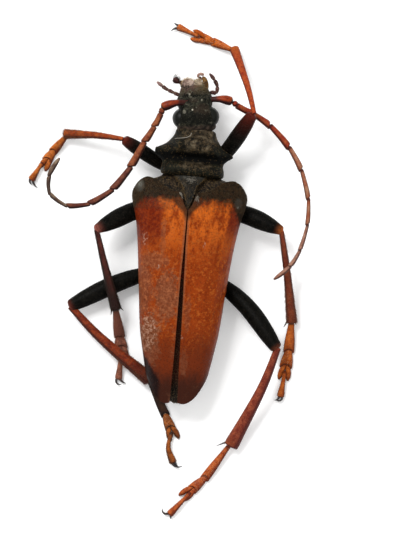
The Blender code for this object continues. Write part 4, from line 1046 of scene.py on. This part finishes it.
palp_brown = cuticle("palp_brown", (50, 28, 28), (84, 52, 48), 0.4, 0.15, 0.3, 0.5, 0.02, 0.15,
                     (150, 126, 118))
PALP_ENDS = {"palp_maxillary_left": ("palp_mauve", (96, 68, 66), (138, 108, 104), (170, 148, 140),
                                     (58, 34, 32)),
             "palp_maxillary_right": ("palp_plum", (66, 42, 42), (106, 74, 72), (150, 126, 118),
                                      (52, 30, 30)),
             "palp_labial_right": ("palp_pink", (128, 96, 86), (166, 134, 122), (186, 164, 150),
                                   (84, 58, 50))}
FRAYED = "palp_labial_left"
for number, (name, (line, ends, girths)) in enumerate(PALPS.items()):
    joints, start, curve = [], 0.0, route(line)
    for end, girth in zip(ends, girths):
        keys = [(0, girth * 0.7), (0.6, girth), (0.9, girth * 1.05), (1, girth * 0.9)]
        if end == 1.0 and "maxillary" in name:
            keys = [(0, girth * 0.7), (0.45, girth * 1.05), (0.8, girth * 0.7), (1, girth * 0.3)]
        joints.append(tube(curve, keys, 0.9, 16, 14, None, max(0.0, start - 0.03), end))
        start = end
    horn = palp_brown
    if name in PALP_ENDS:
        horn_name, dark, light, dust_colour, root = PALP_ENDS[name]
        horn = cuticle(horn_name, dark, light, 0.42, 0.15, 0.3, 0.5, 0.02, 0.2, dust_colour, root=root)
    end = finish(object_from(name + "_end", joints.pop(), horn), "dark_red_cuticle", name)
    count, length, width, look = 60, 0.16, 0.014, straw_hair
    if name == FRAYED:
        count, length, width, look = 80, 0.5, 0.026, dark_hair
    bristles(name + "_end_hair", end, count, length, width, (0.2, 1, 0), 0.7, look, 38 + number, None, 0.6)
    chain = finish(object_from(name + "_chain", together(*joints), palp_brown), "dark_red_cuticle", name)
    bristles(name + "_hair", chain, 130, 0.2, 0.011, (0, 1, 0), 0.6, look, 34 + number, None, 0.8)


# Antennae: eleven joints each, a thick bent root joint, a bead, and nine long ones
# Every joint is a tapering rod of rust brown horn, widest a little to one side at its
# tip, and it turns on a narrow ball in the end of the joint before. Fine hair covers it.
ROD_ENDS = {
    "left": [(-3.42, 14.32, 4.7), (-3.53, 13.92, 4.75), (-4.11, 12.58, 4.85), (-5.03, 10.94, 5.0),
             (-6.29, 8.25, 5.0), (-8.04, 5.79, 4.9), (-10.38, 4.16, 5.15), (-12.71, 3.81, 5.45),
             (-14.56, 4.96, 6.0), (-14.74, 6.88, 6.6), (-13.72, 8.77, 7.0)],
    "right": [(4.01, 15.64, 3.8), (4.37, 15.32, 3.74), (6.14, 14.55, 3.6), (7.96, 13.45, 3.55),
              (10.08, 11.31, 3.62), (11.48, 9.04, 3.7), (12.39, 6.07, 3.76), (12.45, 3.37, 3.8),
              (11.82, 0.65, 3.76), (10.9, -1.07, 3.7), (9.26, -2.54, 3.6)],
}
ROD_GIRTHS = {"left": (0.37, 0.39, 0.43, 0.4, 0.36, 0.3, 0.24, 0.24, 0.27),
              "right": (0.38, 0.37, 0.37, 0.32, 0.28, 0.25, 0.23, 0.24, 0.25)}
SCAPE_END = {"left": (-3.52, 14.64, 4.6), "right": (3.92, 15.72, 3.85)}
# Dark and light shade of the horn, and the painted shade of its flanks that face away from the light, also
# given to the ends of each joint
ROD_SHADES = {
    "left": {"base": ((100, 43, 26), (138, 79, 47), (44, 20, 17)),
             "middle": ((80, 38, 31), (112, 64, 47), (36, 20, 20)),
             "tip": ((86, 66, 54), (128, 108, 88), (52, 40, 38))},
    "right": {"base": ((124, 36, 23), (144, 70, 38), (64, 22, 18)),
              "middle": ((138, 74, 51), (150, 109, 84), (70, 34, 27)),
              "tip": ((122, 80, 68), (160, 118, 98), (66, 40, 38))},
}
DARK_ROOT = {"left": 0.08, "right": 0.22}
LAST_ROD = 9
# The scape's flanks that face away from the light take painted shade.
scape_horn = cuticle("scape_horn", (98, 26, 8), (134, 50, 14), 0.3, 0.2, 0.4, 0.5, 0.025, 0.04, shine=0.12,
                     tip=(138, 66, 18), root=(50, 16, 10), root_to=0.42, flank_shade=(34, 12, 12))
rust_hair = hair_material("rust_hair", (128, 78, 42), (78, 45, 25))


def toothed(girth):
    """Shape of a rod whose end is wider and drawn out on one side."""
    def shape(share, turn):
        late = max(0.0, share - 0.72) / 0.28
        return 1.0 + 0.12 * late * math.cos(turn), girth * 0.5 * late * math.cos(turn)
    return shape


for side, word in SIDES:
    root, elbow = on_head(*SCAPE_SEATS[word]), Vector(SCAPE_END[word])
    scape = tube([root, root.lerp(elbow, 0.55) + Vector((0, 0.16, 0.12)), elbow],
                 [(0, 0.28), (0.25, 0.29), (0.45, 0.35), (0.78, 0.49), (0.93, 0.47), (1, 0.38)], 0.95, 40, 22,
                 dome=0.7)
    finish(object_from(f"antenna_{word}_root_joint", scape, scape_horn), "rufous_cuticle",
           f"antenna_{word}_scape")
    nodes = [Vector(point) for point in ROD_ENDS[word]]
    bead = tube([elbow, elbow.lerp(nodes[0], 0.5), nodes[0], nodes[1]],
                [(0, 0.28), (0.4, 0.3), (0.8, 0.34), (1, 0.28)], 1.0, 20, 16)
    runs = {"base": [bead], "middle": [], "tip": []}
    for rod, girth in enumerate(ROD_GIRTHS[word], 1):
        before, start, end = nodes[rod - 1:rod + 2]
        ahead = (end - start).normalized()
        bend = (ahead - (start - before).normalized()) * 0.12
        root_share, neck_share = (0.78, 0.86) if rod == 1 else (0.5, 0.72)
        keys = [(0, girth * root_share), (0.06, girth * neck_share), (0.5, girth * 0.88), (0.9, girth),
                (1, girth * 0.95)]
        if rod == LAST_ROD:
            keys = [(0, girth * 0.5), (0.07, girth * 0.75), (0.45, girth), (0.8, girth * 0.8), (1, 0.09)]
        runs["base" if rod < 4 else "middle" if rod < 7 else "tip"].append(
            tube([start - ahead * 0.12, start.lerp(end, 0.5) - bend, end], keys, 1.0, 26, 16,
                 None if rod == LAST_ROD else toothed(girth), dome=0.4))
    for stretch, rods in runs.items():
        dark, light, flank = ROD_SHADES[word][stretch]
        horn = cuticle(f"{stretch}_horn_{word}", dark, light, 0.38, 0.16, 0.4, 0.6, 0.025,
                       0.2 if stretch == "tip" else 0.1, (136, 108, 88), tip=flank, tip_from=0.9,
                       tip_fade=0.12, root=flank, root_to=DARK_ROOT[word], flank_shade=flank)
        rods = finish(object_from(f"antenna_{word}_{stretch}_joints", together(*rods), horn),
                      "rufous_cuticle", f"antenna_{word}_{stretch}")
        bristles(f"antenna_{word}_{stretch}_hair", rods, 900, 0.14, 0.009, (0, -1, 0), 0.5, rust_hair,
                 50 + side, None, 0.8)


# Legs: hip ball, ring, thigh, shin and a foot of five joints with two claws
# The thighs are club-shaped and black with reddish knees, the shins rust brown and
# bristly, and the feet orange with pads of pale hair below and dark hooked claws.
# Hip, knee, ankle, ends of the first and the third foot joint, and root of the claws
LEG_JOINTS = {
    "fore_left": [(-1.95, 8.1, 1.5), (-7.25, 11.15, 3.7), (-13.5, 11.35, 0.85),
                  (-14.5, 9.5, 0.3), (-15.5, 7.85, 0.22), (-16.65, 6.3, 0.3)],
    "fore_right": [(1.95, 8.35, 1.5), (6.0, 14.45, 5.2), (3.68, 21.42, 0.85),
                   (1.55, 21.85, 0.3), (-0.5, 22.45, 0.22), (-2.35, 23.27, 0.3)],
    "mid_left": [(-2.4, 5.05, 1.15), (-9.5, 1.6, 4.4), (-6.95, -6.7, 2.3),
                 (-6.45, -9.4, 0.35), (-6.05, -11.4, 0.22), (-6.3, -13.95, 0.3)],
    "mid_right": [(2.4, 4.6, 1.15), (9.75, 2.6, 3.5), (11.45, -7.0, 0.85),
                  (11.3, -9.9, 0.3), (10.93, -12.7, 0.22), (10.7, -14.8, 0.3)],
    "hind_left": [(-2.6, -2.1, 1.0), (-11.8, -6.55, 1.45), (-2.95, -13.8, 1.05),
                  (-1.2, -17.3, 0.3), (-0.15, -19.65, 0.22), (-0.05, -22.35, 0.3)],
    "hind_right": [(2.5, -2.35, 1.0), (9.85, -9.5, 3.4), (5.8, -20.25, 0.85),
                   (3.35, -23.65, 0.3), (1.25, -25.8, 0.22), (-0.2, -27.75, 0.3)],
}
THIGH_BOW = {"fore_right": (0.15, -0.1, 0.1), "mid_left": (-0.05, 0.28, -0.15), "mid_right": (0.0, 0.38, 0.1),
             "hind_left": (0.0, 0.35, 0.1), "hind_right": (0.5, 0.35, -0.1)}
SHIN_BOW = {"fore_left": (0.0, 0.15, 0.0), "fore_right": (0.35, -0.1, 0.2), "mid_left": (-0.05, 0.0, 0.1),
            "mid_right": (0.1, 0.0, 0.0), "hind_left": (-0.4, -0.05, 0.25), "hind_right": (0.6, 0.2, 0.1)}
CLAW_JOINT_BOW = {"hind_left": (-0.45, 0.0, 0.2)}
PLAIN_BOW = (0.0, 0.0, 0.1)
SHIN_ROOT = {"fore_right": (0.22, 0.1, 0.0), "hind_right": (0.28, -0.1, 0.0)}
FOOT_ROOT = {"fore_left": (-0.05, -0.3, -0.15), "fore_right": (-0.4, 0.0, -0.15),
             "mid_left": (0.0, -0.1, -0.1), "mid_right": (0.0, -0.1, -0.15),
             "hind_left": (0.2, -0.3, -0.2), "hind_right": (-0.4, -0.2, -0.15)}
# Side of the shin, angle from it in degrees, and length
SPURS = {"mid_left": [(-1, 30, 0.75), (1, 22, 0.85)], "mid_right": [(1, 38, 0.95), (-1, 5, 0.6)],
         "hind_left": [(-1, 20, 0.95)], "hind_right": [(1, 40, 1.4)]}
# Angle off the foot, turn of the hook in degrees, and length
CLAWS = {"fore_left": [(43, 60, 0.95), (-5, 125, 0.8)], "fore_right": [(22, 60, 0.8), (5, -15, 0.6)],
         "mid_left": [(34, 60, 0.85), (-36, 165, 1.1)], "mid_right": [(24, -150, 0.95), (9, -100, 0.75)],
         "hind_left": [(21, 35, 0.7), (20, 110, 1.4)], "hind_right": [(40, 0, 0.45), (-15, -150, 1.1)]}
HIP_AT = {"fore": (1.02, 8.75, 1.45), "mid": (1.45, 4.85, 0.9), "hind": (1.75, -1.75, 0.85)}
HIP_RADII = {"fore": (0.8, 0.85, 1.05), "mid": (0.95, 0.8, 0.8), "hind": (1.35, 0.6, 0.7)}
THIGH_GIRTH = {"fore": 0.84, "mid": 0.97, "hind": 0.95}
THIGH_SWELL = [(0.0, 0.4), (0.12, 0.64), (0.35, 0.93), (0.62, 1.0), (0.82, 0.9), (0.94, 0.74), (1.0, 0.64)]
TAPERED_END = [(0.84, 0.8), (0.94, 0.58), (1.0, 0.46)]
THIGH_REACH = {"hind_right": 0.35, "hind_left": 0.15, "mid_left": 0.15, "mid_right": 0.15, "fore_right": 0.1}
SHIN_GIRTH = {"fore": 0.46, "mid": 0.52, "hind": 0.7}
SHIN_SWELL = [(0.0, 0.5), (0.08, 0.54), (0.24, 0.62), (0.45, 0.72), (0.85, 0.97), (0.96, 1.06), (1.0, 1.04)]
FOOT_WIDTH = {"fore": 0.46, "mid": 0.56, "hind": 0.47}
LOBE_SPLAY = {"fore_left": (0.47, 0.15), "hind_right": (0.3, 0.5)}
EVEN_SPLAY = (0.47, 0.47)
SECOND_SHARE = 0.58
CLAW_JOINT_SHIFT = {"fore_left": (-0.3, 0.0, 0.0), "hind_right": (0.15, 0.0, 0.0)}
NO_SHIFT = (0.0, 0.0, 0.0)
KNEES = {"fore_left": (124, 44, 28), "fore_right": (110, 36, 24), "mid_left": (150, 84, 72),
         "mid_right": (164, 86, 40), "hind_left": (130, 60, 48), "hind_right": (124, 64, 42)}
KNEE_FADE = {"fore_left": 0.28, "fore_right": 0.4, "mid_left": 0.14, "mid_right": 0.12, "hind_left": 0.13,
             "hind_right": 0.1}
# Dark and light shade of the horn, and the painted shade of its flanks that face away from the light
SHIN_SHADES = {"fore_left": ((122, 42, 14), (164, 78, 32), (62, 22, 20)),
               "fore_right": ((124, 38, 18), (158, 68, 30), (84, 28, 20)),
               "mid_left": ((70, 30, 27), (98, 48, 38), (32, 19, 17)),
               "mid_right": ((116, 46, 30), (156, 77, 44), (66, 28, 24)),
               "hind_left": ((92, 30, 18), (134, 56, 28), (56, 22, 17)),
               "hind_right": ((108, 42, 30), (144, 72, 48), (80, 32, 28))}
# Shade of the shin's end and the share where it begins: the hind left end is painted shadow of the wing case,
# and the mid left shin is darker towards its end
SHIN_TIPS = {"mid_left": ((46, 27, 24), 0.62), "hind_left": ((44, 28, 24), 0.8),
             "fore_right": ((164, 82, 28), 0.85)}
# Dark and light shade of the foot's horn, and the painted shade of its flanks that face away from the light,
# also given to the ends of its joints
FOOT_SHADES = {"fore_left": ((146, 70, 22), (186, 104, 42), (84, 34, 20)),
               "fore_right": ((150, 62, 14), (190, 96, 26), (92, 36, 16)),
               "mid_left": ((96, 55, 43), (146, 92, 71), (104, 62, 50)),
               "mid_right": ((150, 68, 23), (192, 102, 39), (98, 42, 19)),
               "hind_left": ((112, 56, 22), (162, 88, 34), (60, 32, 20)),
               "hind_right": ((134, 54, 22), (172, 86, 38), (92, 34, 20))}

hip_black = cuticle("hip_black", (16, 12, 10), (32, 22, 16), 0.35, 0.18, 0.5, 0.5, 0.03, 0.1)
claw_horn = cuticle("claw_horn", (28, 23, 22), (54, 42, 38), 0.3, 0.2, 0.1, 0.3, 0.01, 0.05, tip=(18, 15, 15),
                    tip_from=0.6, shine=0.4)


def wedge(start, end, girth, flat, notch, first=0.5):
    """Foot joint: narrow at its root, its end cut square and drawn out at both corners."""
    def shape(share, turn):
        corner = abs(math.cos(turn)) ** 3
        return 1.0, notch * max(0.0, share - 0.5) / 0.5 * (corner - 0.35)
    return tube([start, start.lerp(end, 0.5), end],
                [(0, girth * first), (0.3, girth * 0.68), (0.75, girth), (0.96, girth * 1.04),
                 (1, girth * 0.98)], flat, 28, 24, shape, dome=0.3)


CLAW_STEPS = 6


def claw(root, ahead, off, turn, length):
    """Claw that leaves its root off to one side, hooks on round and dips to its tip."""
    points = [root]
    for step in range(CLAW_STEPS):
        heading = Matrix.Rotation(math.radians(off + turn * (step + 0.5) / CLAW_STEPS), 3, "Z") @ ahead
        arc = 0.1 * math.cos(math.pi * (step + 0.5) / CLAW_STEPS)
        points.append(points[-1] + Vector((heading.x, heading.y, 0)) * (length / CLAW_STEPS)
                      + UP * arc * length / 2)
    return tube(points, [(0, 0.16), (0.3, 0.13), (0.7, 0.075), (1, 0.02)], 1.0, 20, 10)


for number, leg in enumerate(LEG_JOINTS):
    pair, word = leg.split("_")
    side = -1 if word == "left" else 1
    hip, knee, ankle, first_end, third_end, claw_root = (Vector(point) for point in LEG_JOINTS[leg])
    x, y, z = HIP_AT[pair]
    centre, radii = Vector((side * x, y, z)), HIP_RADII[pair]

    def ball(share, turn, centre=centre, radii=radii):
        """Point of the hip, an egg shape round an axis that runs across the body."""
        angle = math.pi * (0.02 + 0.96 * share)
        ring = math.sin(angle)
        return (centre.x - radii[0] * math.cos(angle), centre.y + radii[1] * ring * math.cos(turn),
                centre.z + radii[2] * ring * math.sin(turn))

    out = (knee - hip).normalized()
    ring = tube([centre, centre.lerp(hip, 0.6), hip + out * 0.15],
                [(0, 0.35), (0.55, 0.44), (0.85, 0.42), (1, 0.34)], 1.0, 20, 18)
    finish(object_from(f"hip_{leg}", together(skin(ball, 28, 28), ring), hip_black), "black_cuticle",
           f"coxa_{leg}")

    thigh_horn = cuticle(f"thigh_horn_{leg}", (5, 5, 4), (14, 13, 10), 0.4, 0.2, 0.5, 0.5, 0.03, 0.12,
                         (50, 50, 42), tip=KNEES[leg], tip_from=0.9 if pair == "mid" else 0.95,
                         tip_fade=KNEE_FADE[leg], shine=0.03)
    middle = hip.lerp(knee, 0.5) + Vector(THIGH_BOW.get(leg, PLAIN_BOW))
    girth = THIGH_GIRTH[pair] * (0.9 if leg == "fore_left" else 1.0)
    thigh_end = knee + (knee - middle).normalized() * THIGH_REACH.get(leg, 0.0)
    swell = THIGH_SWELL[:4] + TAPERED_END if pair == "mid" else THIGH_SWELL
    thigh = tube([hip, middle, thigh_end], [(share, girth * value) for share, value in swell], 0.92, 48, 30,
                 dome=0.45)
    thigh = finish(object_from(f"thigh_{leg}", thigh, thigh_horn), "black_cuticle", f"femur_{leg}")
    bristles(f"thigh_hair_{leg}", thigh, 1500, 0.24, 0.012, out, 0.35, dark_hair, 60 + number, None, 0.4)

    root = knee + Vector(SHIN_ROOT.get(leg, NO_SHIFT))
    shin_line = route([root, knee.lerp(ankle, 0.45) + Vector(SHIN_BOW[leg]), ankle])
    girth = SHIN_GIRTH[pair]
    dark, light, flank = SHIN_SHADES[leg]
    end_shade, end_from = SHIN_TIPS.get(leg, ((128, 66, 28), 0.9))
    shin_horn = cuticle(f"shin_horn_{leg}", dark, light, 0.36, 0.18, 0.5, 0.7, 0.03, 0.1, (150, 110, 84),
                        tip=end_shade, tip_from=end_from, tip_fade=0.16, root=KNEES[leg], root_to=0.02,
                        flank_shade=flank)
    shin = tube(shin_line, [(share, girth * value) for share, value in SHIN_SWELL], 0.8, 54, 30,
                lambda share, turn: (1.0 + 0.035 * math.cos(6 * turn) * min(1.0, 6 * share), 0.0), dome=0.25)
    along = (ankle - shin_line[0](0.45)).normalized()
    across = along.cross(UP).normalized()
    thorns = []
    for spur_side, splay, length in SPURS.get(leg, []):
        spur_root = ankle - along * 0.4 + across * spur_side * girth * 0.7
        heading = Matrix.Rotation(-spur_side * math.radians(splay), 3, "Z") @ along
        tip = spur_root + heading * length
        thorns.append(tube([spur_root, spur_root.lerp(tip, 0.5), tip], [(0, 0.13), (0.5, 0.08), (1, 0.02)],
                           1.0, 14, 10))
    if thorns:
        finish(object_from(f"spurs_{leg}", together(*thorns), claw_horn), "black_cuticle")
    shin = finish(object_from(f"shin_{leg}", shin, shin_horn), "rufous_cuticle", f"tibia_{leg}")
    bristles(f"shin_hair_{leg}", shin, 1400, 0.34, 0.012, along, 0.45,
             dark_hair if leg == "mid_left" else rust_hair, 70 + number,
             lambda at, normal, place: 0.35 + place[:, 1] ** 2)

    width = FOOT_WIDTH[pair]
    ahead = (third_end - first_end).normalized()
    side_way = ahead.cross(UP).normalized()
    second_end = first_end.lerp(third_end, SECOND_SHARE)
    start = ankle + Vector(FOOT_ROOT[leg]) * 0.6 - along * 0.35
    parts = [wedge(start, first_end, width, 0.62, 0.45, 0.5),
             wedge(first_end - ahead * 0.3, second_end, width * 1.18, 0.52, 0.5, 0.45)]
    for lobe_side, splay in zip((-1, 1), LOBE_SPLAY.get(leg, EVEN_SPLAY)):
        lobe_root = second_end - ahead * 0.35 + side_way * lobe_side * 0.08
        lobe_tip = third_end + ahead * 0.3 + side_way * lobe_side * splay
        parts.append(tube([lobe_root, lobe_root.lerp(lobe_tip, 0.5) + side_way * lobe_side * 0.08, lobe_tip],
                          [(0, 0.16), (0.5, 0.3), (0.75, 0.27), (1, 0.09)], 0.7, 22, 18))
    joint_root = second_end.lerp(third_end, 0.4) + Vector(CLAW_JOINT_SHIFT.get(leg, NO_SHIFT)) + UP * 0.15
    bow = Vector(CLAW_JOINT_BOW.get(leg, (0.0, 0.0, 0.2)))
    parts.append(tube([joint_root, joint_root.lerp(claw_root, 0.5) + bow, claw_root],
                      [(0, 0.19), (0.15, 0.22), (0.22, 0.2), (0.6, 0.28), (0.95, 0.38), (1, 0.34)],
                      0.8, 34, 18, dome=0.5))
    dark, light, flank = FOOT_SHADES[leg]
    # The hind left foot's joint roots are painted dark as the shadow of the wing case.
    foot_horn = cuticle(f"foot_horn_{leg}", dark, light, 0.34, 0.14, 0.4, 0.7, 0.03, 0.08, (164, 128, 92),
                        tip=flank, tip_from=0.97, tip_fade=0.03, flank_shade=flank,
                        root=(52, 34, 26) if leg == "hind_left" else flank, root_to=0.22)
    # The first joint of the hind left foot lies in the wing case's shadow, and takes a horn with that shadow
    # painted in.
    if leg == "hind_left":
        shaded_horn = cuticle("foot_horn_shaded", (38, 26, 21), (66, 42, 28), 0.4, 0.14, 0.4, 0.7, 0.03, 0.08,
                              (104, 84, 64), tip=(112, 62, 28), tip_from=0.97, tip_fade=0.1,
                              flank_shade=(30, 21, 18))
        finish(object_from("foot_first_hind_left", parts.pop(0), shaded_horn), "orange_cuticle")
    foot = finish(object_from(f"foot_{leg}", together(*parts), foot_horn), "orange_cuticle", f"tarsus_{leg}")
    level = (claw_root - third_end).normalized()
    level = Vector((level.x, level.y, 0)).normalized()
    hooks = [claw(claw_root - level * 0.12 + level.cross(UP) * hook_side * 0.15, level, off, turn, length)
             for hook_side, (off, turn, length) in zip((-1, 1), CLAWS[leg])]
    finish(object_from(f"claws_{leg}", together(*hooks), claw_horn), "black_cuticle", f"tarsus_{leg}")
    bristles(f"foot_hair_{leg}", foot, 1100, 0.22, 0.011, ahead, 0.45, rust_hair, 80 + number, None, 0.5)
    bristles(f"pad_hair_{leg}", foot, 900, 0.16, 0.013, ahead, 0.9, straw_hair, 90 + number,
             lambda at, normal, place: normal[:, 2] < -0.3, 0.7)
